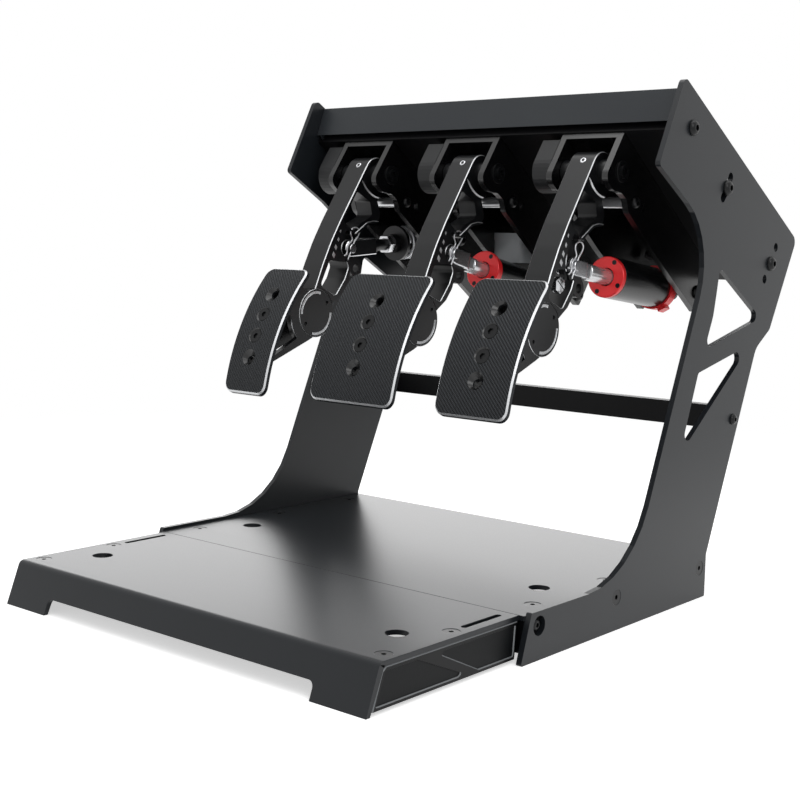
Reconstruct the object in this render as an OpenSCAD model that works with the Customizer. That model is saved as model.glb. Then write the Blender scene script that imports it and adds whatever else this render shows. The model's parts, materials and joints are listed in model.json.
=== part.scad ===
// Sim racing pedal set: clutch, brake and throttle hang from a sloping deck between two
// side plates, above a two-piece heel plate.
// Millimetres. X runs to the driver's right, Y away from the driver, Z up.
// The origin is on the floor under the middle of the whole set.

/* [Side plates] */
// Width over the two side plates
rig_w = 440; // [425:1:520]
// Thickness of a side plate
side_t = 5; // [4:0.5:8]
// Length of the foot along the floor
foot_len = 297.7; // [285:0.1:340]
// Height of the foot
foot_h = 39.8; // [38.5:0.1:46]
// Set-back of the slanted front edge at the top of the foot
foot_rake = 12.7; // [6:0.1:16]
// Where the front line of the neck meets the top of the foot
neck_y = 161; // [150:1:170]
// Radius where the foot runs into the neck
neck_r = 100; // [60:1:120]
// Radius where the neck runs into the head
throat_r = 66; // [40:1:76]

/* [Deck] */
// Distance of the deck's front corner from the front of the foot
deck_y = 225; // [215:0.5:235]
// Height of the deck's front corner
deck_z = 424; // [405:0.5:450]
// Slope of the deck, down to the rear
deck_slope = 35; // [33:0.5:37]
// Length of the deck plate
deck_len = 233; // [229:1:245]
// How far the deck plate reaches in front of its corner
deck_lip = 3; // [1:0.5:6]
// Thickness of the deck plate and of its flanges
deck_t = 3; // [2.5:0.1:3]
// Height of the side flanges
deck_flange_h = 17; // [15:0.5:22]
// Place of the tilt pivot bolt along the deck
tilt_u = 7.1; // [6:0.1:12]
// Height of the deck bolts above the underside of the deck
deck_bolt_h = 8.8; // [8.7:0.1:10]
// Radius of the curved slot about the tilt pivot
tilt_slot_r = 85; // [75:0.5:95]
// Radius of the row of tilt holes about the tilt pivot
tilt_holes_r = 204.8; // [196:0.2:206]
// Angle from one tilt setting to the next
tilt_step = 5.25; // [4.5:0.05:5.5]

/* [Pedal places] */
// Centre of the clutch pedal
clutch_x = -143.5; // [-150:0.5:-135]
// Centre of the brake pedal
brake_x = -9.6; // [-14:0.2:0]
// Centre of the throttle pedal
throttle_x = 126.7; // [120:0.1:135]

/* [Pedal brackets] */
// Outer width of a bracket
bracket_w = 65; // [63:0.5:72]
// Wall thickness of a bracket
bracket_t = 6; // [5:0.5:7]
// Length of a bracket along the deck
bracket_len = 216.5; // [214:0.5:225]
// Depth of a bracket below the deck
bracket_h = 52; // [50:0.5:58]
// Place of the pedal pivot along the deck
pivot_u = 17; // [15:0.5:20]
// Depth of the pedal pivot below the deck
pivot_v = 30; // [28:0.5:32]
// Place of the stop rod along the deck
stop_u = 53; // [51:0.5:56]
// Depth of the stop rod below the deck
stop_v = 37; // [34:0.5:39]
// Radius of the stop rod
stop_r = 5.5; // [4.5:0.1:6]
// Width of a sensor housing
sensor_w = 19; // [16:0.5:22]
// Radius of a sensor housing about the pivot
sensor_r = 19; // [17:0.5:20]
// Height of the front valance's face
valance_h = 30.5; // [26:0.5:34]

/* [Pedal arms] */
// Width of an arm
arm_w = 26; // [24:0.5:30]
// Radius of an arm's hub
hub_r = 18; // [16:0.5:19]
// Radius of the pivot shaft
shaft_r = 6; // [5:0.1:6.5]
// Depth of the pockets in an arm's sides
pocket_d = 3; // [1.5:0.1:4.5]
// Thickness of the lug that the linkage pin passes through
lug_t = 8; // [6:0.2:9]
// Radius of the linkage pin
pin_r = 4; // [3.4:0.1:4.2]
// Play of the linkage pin in the lug
pin_play = 0.8; // [0.8:0.05:1.2]
// Radius of the clamp discs
disc_r = 24; // [22:0.5:25]
// Thickness of a clamp disc's head
disc_t = 3; // [2:0.1:4]
// Width of the tongue between the pad bracket's webs
tongue_w = 14; // [12:0.5:16]

/* [Pads] */
// Width of the clutch pad
clutch_pad_w = 46; // [40:1:60]
// Width of the brake pad
brake_pad_w = 94; // [80:1:104]
// Width of the throttle pad
throttle_pad_w = 66; // [50:1:80]
// Height of a pad, straight across its curve
pad_h = 122; // [112:1:128]
// Radius of a pad's face
pad_curve_r = 220; // [200:1:260]
// Thickness of a pad
pad_t = 5; // [4:0.5:7]
// Thickness of the carrier behind a pad
carrier_t = 3.5; // [3:0.5:5]
// Corner radius of a pad
pad_corner_r = 9; // [6:0.5:16]
// Distance from one pad hole to the next
pad_pitch = 23; // [20:0.5:26]
// Radius of the pad screws
pad_screw_r = 4; // [3:0.1:4.4]
// Radius of the countersinks in a pad
pad_sink_r = 7.8; // [7:0.1:9]

/* [Linkage] */
// Length of a clevis from its pin
clevis_len = 45; // [42:0.5:50]
// Height of a clevis
clevis_h = 16.7; // [14:0.1:17]
// Width of a clevis
clevis_w = 20; // [18:0.2:21]
// Radius of a push rod
rod_r = 6; // [5:0.1:6.5]
// Radius of the throttle's tube
throttle_tube_r = 19.5; // [17:0.5:21]
// Radius of the brake's tube
brake_tube_r = 16; // [15:0.5:20]
// Wall thickness of a tube
tube_wall = 3.5; // [2.5:0.5:5]
// Radius of the clutch spring's wire
spring_wire_r = 2.1; // [1.5:0.1:2.4]
// Outer radius of the clutch spring
spring_r = 18; // [15:0.5:19]
// Number of coils of the clutch spring
spring_coils = 6; // [4:1:7]
// Radius of the R-clip's wire
clip_wire_r = 0.9; // [0.7:0.05:1.1]

/* [Heel plates] */
// Height of the heel plate's top
heel_h = 37.1; // [34:0.1:38]
// Thickness of the heel sheets
heel_t = 4; // [3.5:0.5:5]
// Where the two heel plates meet
seam_y = 10.2; // [8:0.2:14]
// How far the extension's top reaches in front of the side plates
heel_reach = 154.9; // [140:0.1:180]
// How far the front flange leans out at the floor
flange_lean = 13.7; // [8:0.1:18]
// Height of the gap under the front flange
flange_gap = 13.5; // [8:0.5:20]
// Half width of the gap under the front flange
flange_gap_x = 156; // [120:1:170]
// Radius of the four floor holes
floor_hole_r = 9; // [6:0.5:10]
// Distance from a side plate's inner face to the floor holes
floor_hole_in = 42; // [39:1:55]
// Place of the rear floor holes
floor_hole_rear = 91.8; // [80:0.1:110]
// Distance from the rear to the front floor holes
floor_hole_span = 185.2; // [180:0.1:190]
// Height of the rear cross bar
bar_h = 22; // [16:0.5:30]
// Depth of the rear cross bar
bar_t = 12; // [10:0.5:16]

/* [Fasteners] */
// Radius of the deck bolts
bolt_r = 4; // [3:0.1:4.2]
// Radius of the small frame screws
screw_r = 3; // [2.4:0.1:3.2]
// Radial clearance of a screw in its hole
hole_gap = 0.3; // [0.2:0.05:0.4]
// Radial clearance of a screw in its thread
thread_gap = 0.08; // [0.05:0.01:0.15]
// Radial clearance of a turning or sliding fit
run_gap = 0.05; // [0.03:0.01:0.08]
// Clearance between parts that lie side by side
side_gap = 0.3; // [0.2:0.05:0.5]

/* [Hidden] */
$fn = 48;
eps = 0.01;

black = "#2b2d30";
plate_black = "#3a3c3f";
silver = "#b9bac0";
red = "#e5282c";
box_grey = "#84888b";

pedals_x = [clutch_x, brake_x, throttle_x];
side_in = rig_w / 2 - side_t;

// The deck's own directions: u runs down the slope to the rear, v down from its underside
deck_cos = cos(deck_slope);
deck_sin = sin(deck_slope);
function uv(u, v) = [deck_y + u * deck_cos - v * deck_sin, deck_z - u * deck_sin - v * deck_cos];
pivot = uv(pivot_u, pivot_v);

// Linkage pins in the arms and rear pivots of the cylinders, from the pedal pivot
clutch_pin = pivot + [-33, -75];
brake_pin = pivot + [-33, -77];
throttle_pin = pivot + [-33, -84.4];
clutch_rear = pivot + [118, -63.5];
brake_rear = pivot + [148, -118];
throttle_rear = pivot + [150, -109.8];
spare_hole = [13.4, -20.5];

// Clamp disc and the centre of the pad's curve, from the pedal pivot
disc_c = pivot + [-86.5, -139];
pad_angle = 62.6;
pad_face = pivot + [-152.5, -148.6];
pad_c = pad_face - pad_curve_r * [-sin(pad_angle), cos(pad_angle)];

// An outline is a list of [y, z, corner radius]; each corner becomes an arc
function unit(v) = v / norm(v);
function corner(p, q, s, r) =
    r == 0 ? [q] :
    let (a = unit(p - q), b = unit(s - q), half = acos(a * b) / 2)
    let (t = min(r / tan(half), 0.49 * norm(p - q), 0.49 * norm(s - q)))
    let (r1 = t * tan(half), c = q + unit(a + b) * r1 / sin(half))
    let (from = q + a * t - c, turn = (a.x * b.y - a.y * b.x > 0 ? -1 : 1) * (180 - 2 * half))
    let (n = max(2, ceil(abs(turn) / 12)))
    [for (k = [0:n]) c + turned(from, turn * k / n)];
function turned(v, g) = [v.x * cos(g) - v.y * sin(g), v.x * sin(g) + v.y * cos(g)];
function flat(p) = [p.x, p.y];
function rounded(list) = let (n = len(list)) [
    for (i = [0:n - 1])
        each corner(flat(list[(i + n - 1) % n]), flat(list[i]), flat(list[(i + 1) % n]),
            is_undef(list[i][2]) ? 0 : list[i][2])
];
function arc(c, r, from, to, n = 10) =
    [for (k = [0:n]) let (g = from + (to - from) * k / n) c + r * [cos(g), sin(g)]];
function shifted(list, by) = [for (p = list) [p.x + by.x, p.y + by.y, is_undef(p[2]) ? 0 : p[2]]];

// Side plate outline, from the foot up round the head
head = [deck_y, deck_z];
throat = head + [60.9, -90.4];
plate_outline = rounded([
    [0, 0, 1.5], [foot_rake, foot_h, 2], [neck_y, foot_h, neck_r], [throat.x, throat.y, throat_r],
    [deck_y - 44.3, deck_z - 31.1, 4], [deck_y - 6, deck_z + 45.5, 6],
    [deck_y + 234.8, deck_z - 90.5, 8], [deck_y + 184, deck_z - 178.5, 8],
    [deck_y + 156, deck_z - 195.5, 20], [foot_len, foot_h, 0], [foot_len, 0, 1.5]
]);
upper_window = shifted([
    [74.1, -117.3, 5.7], [162.6, -166.5, 5.7], [51.1, -192, 6], [65, -162.1, 40], [69.3, -142.5, 40]
], head);
lower_window = shifted([[41.5, -212.6, 4], [143.4, -191.3, 6.5], [13.4, -284.6, 6.5]], head);

// The whole set spans from the foot of the front flange to the rear tip of the plates
set_front = -(heel_reach + flange_lean);
set_rear = max([for (p = plate_outline) p.x]);
set_mid = (set_front + set_rear) / 2;

module placed() {
    translate([0, -set_mid, 0]) children();
}

// A flat outline in the Y-Z plane, from x0 to x1
module slab(x0, x1) {
    translate([x0, 0, 0]) rotate([90, 0, 90]) linear_extrude(x1 - x0) children();
}

// The same with the outline given in the deck's u and v
module deck_slab(x0, x1) {
    translate([0, deck_y, deck_z]) rotate([-deck_slope, 0, 0]) slab(x0, x1) mirror([0, 1]) children();
}

// A round bar or bore along X
module bar(p, r, x0, x1) {
    translate([x0, p.x, p.y]) rotate([0, 90, 0]) cylinder(r = r, h = x1 - x0);
}

module both_sides() {
    children();
    mirror([1, 0, 0]) children();
}

// Local frame with +Z from one point of the Y-Z plane to another
module toward(x, from, to) {
    translate([x, from.x, from.y]) rotate([-atan2(to.x - from.x, to.y - from.y), 0, 0]) children();
}

module tube(r_out, r_in, z0, z1) {
    translate([0, 0, z0]) difference() {
        cylinder(r = r_out, h = z1 - z0);
        translate([0, 0, -1]) cylinder(r = r_in, h = z1 - z0 + 2);
    }
}

module rod(r, z0, z1) {
    translate([0, 0, z0]) cylinder(r = r, h = z1 - z0);
}

module block(size_x, size_y, z0, z1) {
    translate([-size_x / 2, -size_y / 2, z0]) cube([size_x, size_y, z1 - z0]);
}

module hexagon(across, z0, z1) {
    translate([0, 0, z0]) cylinder(r = across / sqrt(3), h = z1 - z0, $fn = 6);
}

// Button head screw: the head's seat is at z = 0, the shank points down
module button_screw(r, len) {
    head_r = 1.75 * r;
    head_h = 1.1 * r;
    difference() {
        rotate_extrude() polygon([
            [0, 0], [head_r, 0], [head_r, 0.25 * head_h], [0.9 * head_r, 0.6 * head_h],
            [0.7 * head_r, 0.88 * head_h], [0.48 * head_r, head_h], [0, head_h]
        ]);
        hexagon(1.25 * r, 0.35 * head_h, head_h + 1);
    }
    rod(r, -len, 0);
}

// Countersunk screw: the top of the head is at z = 0, the shank points down
module sunk_screw(r, head_r, len) {
    difference() {
        union() {
            translate([0, 0, -(head_r - r)]) cylinder(r1 = r, r2 = head_r, h = head_r - r);
            rod(r, -len, -(head_r - r));
        }
        hexagon(1.3 * r, -0.6 * (head_r - r), 1);
    }
}

// Hole for a countersunk screw whose surface is at z = 0
module sink(r, head_r, deep) {
    over = 1.5;
    rotate_extrude() polygon([
        [0, -deep], [r, -deep], [r, r - head_r], [head_r + over, over], [0, over]
    ]);
}

module nut(across, r, h) {
    difference() {
        hexagon(across, 0, h);
        rod(r + thread_gap, -1, h + 1);
    }
}

// Deck bolts in the side plates: the tilt pivot, the slot bolt and the rear bolt
tilt_pivot = uv(tilt_u, -deck_bolt_h);
slot_bolt = uv(tilt_u + tilt_slot_r, -deck_bolt_h);
rear_bolt = uv(tilt_u + tilt_holes_r, -deck_bolt_h);
foot_screws = [[285.7, 28.6], [139.1, 28.7]];
front_screw = [23.7, 28];
front_hole_r = 8;
bar_screw = [338.6, 163.2];
foot_head_r = 6.8;

module side_plate(side) {
    x0 = side > 0 ? side_in : -rig_w / 2;
    x1 = x0 + side_t;
    half_slot = 1.5 * tilt_step;
    placed() difference() {
        slab(x0, x1) polygon(plate_outline);
        slab(x0 - 1, x1 + 1) polygon(rounded(upper_window));
        slab(x0 - 1, x1 + 1) polygon(rounded(lower_window));
        bar(tilt_pivot, bolt_r + hole_gap, x0 - 1, x1 + 1);
        // Curved slot about the tilt pivot, with round ends
        translate([x0 - 1, tilt_pivot.x, tilt_pivot.y]) rotate([90, 0, 90])
            rotate([0, 0, -deck_slope - half_slot]) rotate_extrude(angle = 2 * half_slot)
            translate([tilt_slot_r - bolt_r - hole_gap, 0]) square([2 * (bolt_r + hole_gap), side_t + 2]);
        for (g = [-half_slot, half_slot])
            bar(tilt_pivot + turned([tilt_slot_r, 0], -deck_slope + g), bolt_r + hole_gap, x0 - 1, x1 + 1);
        for (g = [-tilt_step, 0, tilt_step])
            bar(tilt_pivot + turned([tilt_holes_r, 0], -deck_slope + g), bolt_r + hole_gap, x0 - 1, x1 + 1);
        bar(front_screw, front_hole_r, x0 - 1, x1 + 1);
        bar(bar_screw, screw_r + hole_gap, x0 - 1, x1 + 1);
        for (p = foot_screws)
            translate([side * rig_w / 2, p.x, p.y]) rotate([0, side * 90, 0])
                sink(screw_r + hole_gap, foot_head_r + hole_gap, side_t + 1);
    }
}

module side_plate_left() color(plate_black) side_plate(-1);
module side_plate_right() color(plate_black) side_plate(1);

// Heel plates: folded sheet, with the screws along both sides
heel_screw_x = side_in - 16.5;
floor_hole_x = side_in - floor_hole_in;
heel_head_r = 6.7;
heel_screws_main = [45, 155, 264];
heel_screws_ext = [17.1 - heel_reach, seam_y - 71.2];
floor_holes_main = [floor_hole_rear];
floor_holes_ext = [floor_hole_rear - floor_hole_span];
ext_half = rig_w / 2 - 10;
slot_y = [seam_y - 55.2, seam_y - 12.2];
slot_half_w = 2.5;
heel_half = side_in - side_gap;

module heel_holes(screws, holes) {
    for (y = screws)
        translate([heel_screw_x, y, heel_h]) sink(screw_r + hole_gap, heel_head_r + hole_gap, heel_t + 1);
    for (y = holes)
        translate([floor_hole_x, y, heel_h - heel_t - 1]) cylinder(r = floor_hole_r, h = heel_t + 2);
}

module heel_plate() color(plate_black) placed() difference() {
    translate([-heel_half, seam_y, heel_h - heel_t]) cube([2 * heel_half, foot_len - seam_y, heel_t]);
    both_sides() heel_holes(heel_screws_main, floor_holes_main);
}

// The flange leans out, so the sheet's inner line is found from its slope
ext_front = -heel_reach;
flange_dir = unit([-flange_lean, -heel_h]);
flange_norm = [-flange_dir.y, flange_dir.x];
bend_r = 6;

module heel_extension() color(plate_black) placed() difference() {
    inner_top = heel_h - heel_t;
    inner_y = ext_front + flange_norm.x * heel_t + (heel_t + flange_norm.y * heel_t) / tan(atan2(heel_h, flange_lean));
    slab(-ext_half, ext_half) polygon(rounded([
        [seam_y - side_gap, heel_h], [ext_front, heel_h, bend_r], [ext_front - flange_lean, 0],
        [ext_front - flange_lean + heel_t / flange_norm.x, 0], [inner_y, inner_top, bend_r - heel_t],
        [seam_y - side_gap, inner_top]
    ]));
    both_sides() heel_holes(heel_screws_ext, floor_holes_ext);
    // Long slots in which the extension is set fore and aft
    both_sides() {
        translate([heel_screw_x - slot_half_w, slot_y[0], inner_top - 1])
            cube([2 * slot_half_w, slot_y[1] - slot_y[0], heel_t + 2]);
        for (y = slot_y)
            translate([heel_screw_x, y, inner_top - 1]) cylinder(r = slot_half_w, h = heel_t + 2);
    }
    // Gap under the flange, with round upper corners
    gap_r = 5;
    translate([0, set_front - 1, 0]) rotate([90, 0, 0]) mirror([0, 0, 1])
        linear_extrude(flange_lean + 3 * heel_t) polygon(rounded([
            [-flange_gap_x, -1], [-flange_gap_x, flange_gap, gap_r], [flange_gap_x, flange_gap, gap_r],
            [flange_gap_x, -1]
        ]));
}

rail_z = 6;
rail_in = side_in - 9;
rail_shelf_w = 16;
rail_shelf_t = 3.1;
rail_top = heel_h - heel_t;

// Angle rails along the side plates carry the heel plate
module heel_rails() color(black) placed() both_sides() difference() {
    rail_y0 = seam_y + 2;
    rail_y1 = foot_len - 2;
    union() {
        translate([rail_in, rail_y0, rail_z]) cube([side_in - rail_in, rail_y1 - rail_y0, rail_top - rail_z]);
        translate([rail_in - rail_shelf_w, rail_y0, rail_top - rail_shelf_t])
            cube([rail_shelf_w + eps, rail_y1 - rail_y0, rail_shelf_t]);
    }
    for (y = heel_screws_main) translate([heel_screw_x, y, 0]) cylinder(r = screw_r + thread_gap, h = heel_h);
    for (p = concat(foot_screws, [front_screw])) bar(p, screw_r + thread_gap, rail_in - 1, side_in + 1);
    // Room for the floor holes' washers
    translate([floor_hole_x, floor_hole_rear, rail_top - rail_shelf_t - 1])
        cylinder(r = floor_hole_r + 4, h = rail_shelf_t + 2);
}

// Rails under the extension; their tails slide inside the heel rails
ext_rail_t = 3;
ext_rail_tail = 45;
trim_t = 4;
module extension_rails() color(black) placed() both_sides() difference() {
    rail_x = ext_half - trim_t - ext_rail_t;
    // The rails start behind the fillet inside the flange's bend
    rail_y0 = ext_front + bend_r + 1;
    rail_len = seam_y - side_gap - rail_y0;
    union() {
        translate([rail_x, rail_y0, rail_z])
            cube([ext_rail_t, ext_rail_tail - rail_y0, rail_top - rail_shelf_t - side_gap - rail_z]);
        translate([rail_x, rail_y0, rail_z]) cube([ext_rail_t, rail_len, rail_top - rail_z]);
        translate([rail_in - rail_shelf_w, rail_y0, rail_top - rail_shelf_t])
            cube([rail_x - rail_in + rail_shelf_w + eps, rail_len, rail_shelf_t]);
    }
    for (y = heel_screws_ext) translate([heel_screw_x, y, 0]) cylinder(r = screw_r + thread_gap, h = heel_h);
    translate([floor_hole_x, floor_holes_ext[0], rail_top - rail_shelf_t - 1])
        cylinder(r = floor_hole_r + 4, h = rail_shelf_t + 2);
    translate([heel_screw_x - slot_half_w, slot_y[0], rail_top - rail_shelf_t - 1])
        cube([2 * slot_half_w, slot_y[1] - slot_y[0], rail_shelf_t + 2]);
}

// Side trims of the extension: a raised frame with a leaning bar across the middle
trim_edge = 3;
trim_recess = 1.2;
trim_z = [3, rail_top - side_gap];
function flange_y(z) = ext_front - flange_lean * (1 - z / heel_h);
trim_front = heel_t + 1.5;
module extension_trims() color(black) placed() both_sides() difference() {
    y1 = seam_y - 2;
    slab(ext_half - trim_t, ext_half) polygon([
        [flange_y(trim_z[0]) + trim_front, trim_z[0]], [flange_y(trim_z[1] - 3) + trim_front, trim_z[1] - 3],
        [flange_y(trim_z[1]) + trim_front + 3, trim_z[1]], [y1, trim_z[1]], [y1 - 3, trim_z[0]]
    ]);
    slab(ext_half - trim_recess, ext_half + 1) {
        polygon(rounded([
            [flange_y(7) + trim_front + 2, trim_z[0] + trim_edge, 1],
            [flange_y(31) + trim_front + 3, trim_z[1] - trim_edge, 1],
            [ext_front + 40.9, trim_z[1] - trim_edge, 2], [ext_front + 92.9, trim_z[0] + trim_edge + 2, 2],
            [ext_front + 88.9, trim_z[0] + trim_edge, 1]
        ]));
        polygon(rounded([
            [ext_front + 68.4, 27.3, 2], [ext_front + 71.2, trim_z[1] - trim_edge, 2],
            [y1 - 3, trim_z[1] - trim_edge, 1], [y1 - 5, trim_z[0] + trim_edge, 1],
            [ext_front + 113.9, trim_z[0] + trim_edge, 2]
        ]));
    }
}

module heel_screws() color(black) placed() both_sides()
    for (y = concat(heel_screws_main, heel_screws_ext))
        translate([heel_screw_x, y, heel_h - 0.3]) sunk_screw(screw_r, heel_head_r, heel_t + rail_shelf_t + 1);

module rear_cross_bar() color(black) placed() difference() {
    half = side_in;
    translate([-half, bar_screw.x - bar_t / 2, bar_screw.y - bar_h / 2 + 1]) cube([2 * half, bar_t, bar_h]);
    both_sides() bar(bar_screw, screw_r + thread_gap, half - 22, half + 1);
}

// Deck: a plate with turned-up sides and front edge, and cross slots for the brackets' screws
bracket_screw_u = [48, 178];
bracket_screw_x = 18;
bracket_slide = 16;
deck_half = side_in;
deck_lip_h = 14;

module deck_box(x0, x1, u0, u1, w0, w1) {
    translate([0, deck_y, deck_z]) rotate([-deck_slope, 0, 0]) translate([x0, u0, w0])
        cube([x1 - x0, u1 - u0, w1 - w0]);
}

module deck_hole(x, u, r, w0, w1) {
    translate([0, deck_y, deck_z]) rotate([-deck_slope, 0, 0]) translate([x, u, w0])
        cylinder(r = r, h = w1 - w0);
}

module pedal_deck() color(black) placed() difference() {
    u1 = deck_len - deck_lip;
    union() {
        deck_box(-deck_half, deck_half, -deck_lip, u1, 0, deck_t);
        both_sides() deck_box(deck_half - deck_t, deck_half, -deck_lip, u1, 0, deck_flange_h);
        // The turned-up front edge ends beside the valance's tabs
        lip_half = deck_half - deck_t - valance_t - side_gap;
        deck_box(-lip_half, lip_half, -deck_lip, deck_t - deck_lip, 0, deck_lip_h);
    }
    both_sides() for (p = [tilt_pivot, slot_bolt, rear_bolt])
        bar(p, bolt_r + hole_gap, deck_half - deck_t - 1, deck_half + 1);
    for (x = pedals_x, u = bracket_screw_u) {
        reach = bracket_screw_x + bracket_slide;
        r = screw_r + hole_gap;
        deck_box(x - reach, x + reach, u - r, u + r, -1, deck_t + 1);
        for (e = [-reach, reach]) deck_hole(x + e, u, r, -1, deck_t + 1);
    }
}

// Valance: a leaning face between the plates, a top that follows them, and end tabs
head_slope = atan2(136, 240.8);
valance_t = 2;
valance_lean = 20;
valance_top_len = 26;
tab_x = deck_half - deck_t;
module front_valance() color(plate_black) placed() {
    top = head + [5.8, 37.4];
    low = top + valance_h * [-sin(valance_lean), -cos(valance_lean)];
    back = [cos(head_slope), -sin(head_slope)];
    difference() {
        union() {
            slab(-side_in + side_gap, side_in - side_gap) polygon([
                top, low, low + [valance_t / cos(valance_lean), 0],
                top + [valance_t / cos(valance_lean), 0] + valance_t * [-sin(valance_lean), -cos(valance_lean)],
                top + valance_top_len * back + [0, -valance_t / cos(head_slope)], top + valance_top_len * back
            ]);
            both_sides() slab(tab_x - valance_t, tab_x) polygon([
                low + [1, 1], uv(0, -deck_t - side_gap), uv(tilt_u + 9, -deck_t - side_gap),
                uv(tilt_u + 13, -deck_t - 6), top + (valance_top_len - 2) * back + [0, -1], top + [1, -1]
            ]);
        }
        both_sides() bar(tilt_pivot, bolt_r + hole_gap, tab_x - valance_t - 1, tab_x + 1);
    }
}

// Round press nuts, because the deck plate leaves no room for hexagons
press_nut_r = 1.37 * bolt_r;
press_nut_h = 6;
module frame_bolts() color(black) placed() both_sides() {
    for (p = [tilt_pivot, slot_bolt, rear_bolt]) {
        nut_x = tab_x - (p == tilt_pivot ? valance_t : 0);
        translate([rig_w / 2, p.x, p.y]) rotate([0, 90, 0])
            button_screw(bolt_r, rig_w / 2 - nut_x + press_nut_h + 1);
        translate([0, p.x, p.y]) rotate([0, 90, 0])
            tube(press_nut_r, bolt_r + thread_gap, nut_x - press_nut_h, nut_x);
    }
    translate([rig_w / 2, bar_screw.x, bar_screw.y]) rotate([0, 90, 0]) button_screw(screw_r, side_t + 18);
    translate([side_in, front_screw.x, front_screw.y]) rotate([0, 90, 0]) button_screw(screw_r, side_in - rail_in);
    for (p = foot_screws)
        translate([rig_w / 2 - 0.3, p.x, p.y]) rotate([0, 90, 0])
            sunk_screw(screw_r, foot_head_r, side_t + side_in - rail_in - 1);
}

// Control box under the brake's bracket, against its left cheek
box_size = [34, 34, 23];
box_y = 300.5;
box_top = 327;
box_lid_h = 7;
module control_box() color(box_grey) placed() box_part(box_top - box_size[2], box_top, 0);
module control_box_lid() color(box_grey) placed() box_part(box_top, box_top + box_lid_h, 0.8);
module box_part(z0, z1, proud) {
    x0 = brake_x - bracket_w / 2 + bracket_t;
    r = 5;
    translate([0, 0, z0]) linear_extrude(z1 - z0) polygon(rounded([
        [x0, box_y - proud], [x0 + box_size[0] + proud, box_y - proud, r],
        [x0 + box_size[0] + proud, box_y + box_size[1] + proud, r], [x0, box_y + box_size[1] + proud]
    ]));
}

// Flanged bushes carry each pivot shaft in the cheeks
bush_r = 8;
bush_flange_r = 9.75;
bush_flange_t = 1.5;
module pivot_bearings() color(silver) placed() for (x = pedals_x) translate([x, 0, 0]) both_sides()
    translate([bracket_w / 2 - bracket_t, pivot.x, pivot.y]) rotate([0, 90, 0]) difference() {
        union() {
            rod(bush_r, 0, bracket_t);
            rod(bush_flange_r, bracket_t, bracket_t + bush_flange_t);
        }
        rod(shaft_r + run_gap, -1, bracket_t + bush_flange_t + 1);
    }

function rear_of(x) = x == clutch_x ? clutch_rear : x == brake_x ? brake_rear : throttle_rear;

// Stop rods with their through bolts, and the pins at the rear of the cylinders
module bracket_cross_bolts() color(black) placed() for (x = pedals_x) translate([x, 0, 0]) {
    inner = bracket_w / 2 - bracket_t;
    stop = uv(stop_u, stop_v);
    rear = rear_of(x);
    difference() {
        bar(stop, stop_r, -inner, inner);
        bar(stop, screw_r + hole_gap, -inner - 1, inner + 1);
    }
    translate([bracket_w / 2, stop.x, stop.y]) rotate([0, 90, 0]) button_screw(screw_r, bracket_w + 5);
    translate([-bracket_w / 2 - 5, stop.x, stop.y]) rotate([0, 90, 0]) nut(10, screw_r, 5);
    translate([bracket_w / 2, rear.x, rear.y]) rotate([0, 90, 0]) button_screw(bolt_r, bracket_w + 6.5);
    translate([-bracket_w / 2 - 6.5, rear.x, rear.y]) rotate([0, 90, 0]) nut(13, bolt_r, 6.5);
}

module bracket_screws() color(black) placed() for (x = pedals_x, u = bracket_screw_u, s = [-1, 1])
    translate([0, deck_y, deck_z]) rotate([-deck_slope, 0, 0]) translate([x + s * bracket_screw_x, u, 0]) {
        translate([0, 0, deck_t]) button_screw(screw_r, deck_t + bracket_t + 6);
        translate([0, 0, -bracket_t - 5]) nut(10, screw_r, 5);
    }

// Bracket: an upside-down channel whose cheeks carry the pivot, the stop rod and the cylinder
cheek_front = -1.5;
cheek_outline = [
    [cheek_front, 0], [cheek_front, bracket_h - 1, 17], [16, bracket_h - 0.5, 8], [28, bracket_h - 7, 10],
    [39, bracket_h - 8, 8], [49, bracket_h - 1, 6], [108, bracket_h + 0.8, 40],
    [bracket_len + cheek_front, bracket_h - 1.2, 4], [bracket_len + cheek_front, 0]
];
module bracket(x) {
    half = bracket_w / 2;
    inner = half - bracket_t;
    placed() difference() {
        deck_slab(x - half, x + half) polygon(rounded(cheek_outline));
        deck_slab(x - inner, x + inner) translate([cheek_front - 1, bracket_t]) square([bracket_len + 2, bracket_h + 2]);
        bar(pivot, bush_r + run_gap, x - half - 1, x + half + 1);
        bar(uv(stop_u, stop_v), screw_r + hole_gap, x - half - 1, x + half + 1);
        bar(rear_of(x), bolt_r + hole_gap, x - half - 1, x + half + 1);
        // Small diamond hole behind the stop rod
        deck_slab(x - half - 1, x + half + 1) polygon([[64, 32], [68, 27], [72, 32], [68, 37]]);
        for (u = bracket_screw_u, s = [-1, 1])
            deck_hole(x + s * bracket_screw_x, u, screw_r + hole_gap, -bracket_t - 1, 1);
    }
}
module clutch_bracket() color(black) bracket(clutch_x);
module brake_bracket() color(black) bracket(brake_x);
module throttle_bracket() color(black) bracket(throttle_x);

// Sensor housing: a D-shaped cap over the left end of the shaft
sensor_wall = 3;
sensor_top = 7;
function sensor_outline(r, top) = concat(
    [[pivot_u + r, top], [pivot_u - r, top]], arc([pivot_u, pivot_v], r, 180, 0, 16)
);
module sensor_housing(x) {
    x0 = x - bracket_w / 2 - sensor_w;
    placed() difference() {
        deck_slab(x0, x0 + sensor_w) polygon(sensor_outline(sensor_r, sensor_top));
        deck_slab(x0 + sensor_wall, x0 + sensor_w + 1)
            polygon(sensor_outline(sensor_r - sensor_wall, sensor_top + sensor_wall));
    }
}
module clutch_sensor_housing() color(black) sensor_housing(clutch_x);
module brake_sensor_housing() color(black) sensor_housing(brake_x);
module throttle_sensor_housing() color(black) sensor_housing(throttle_x);

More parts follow.
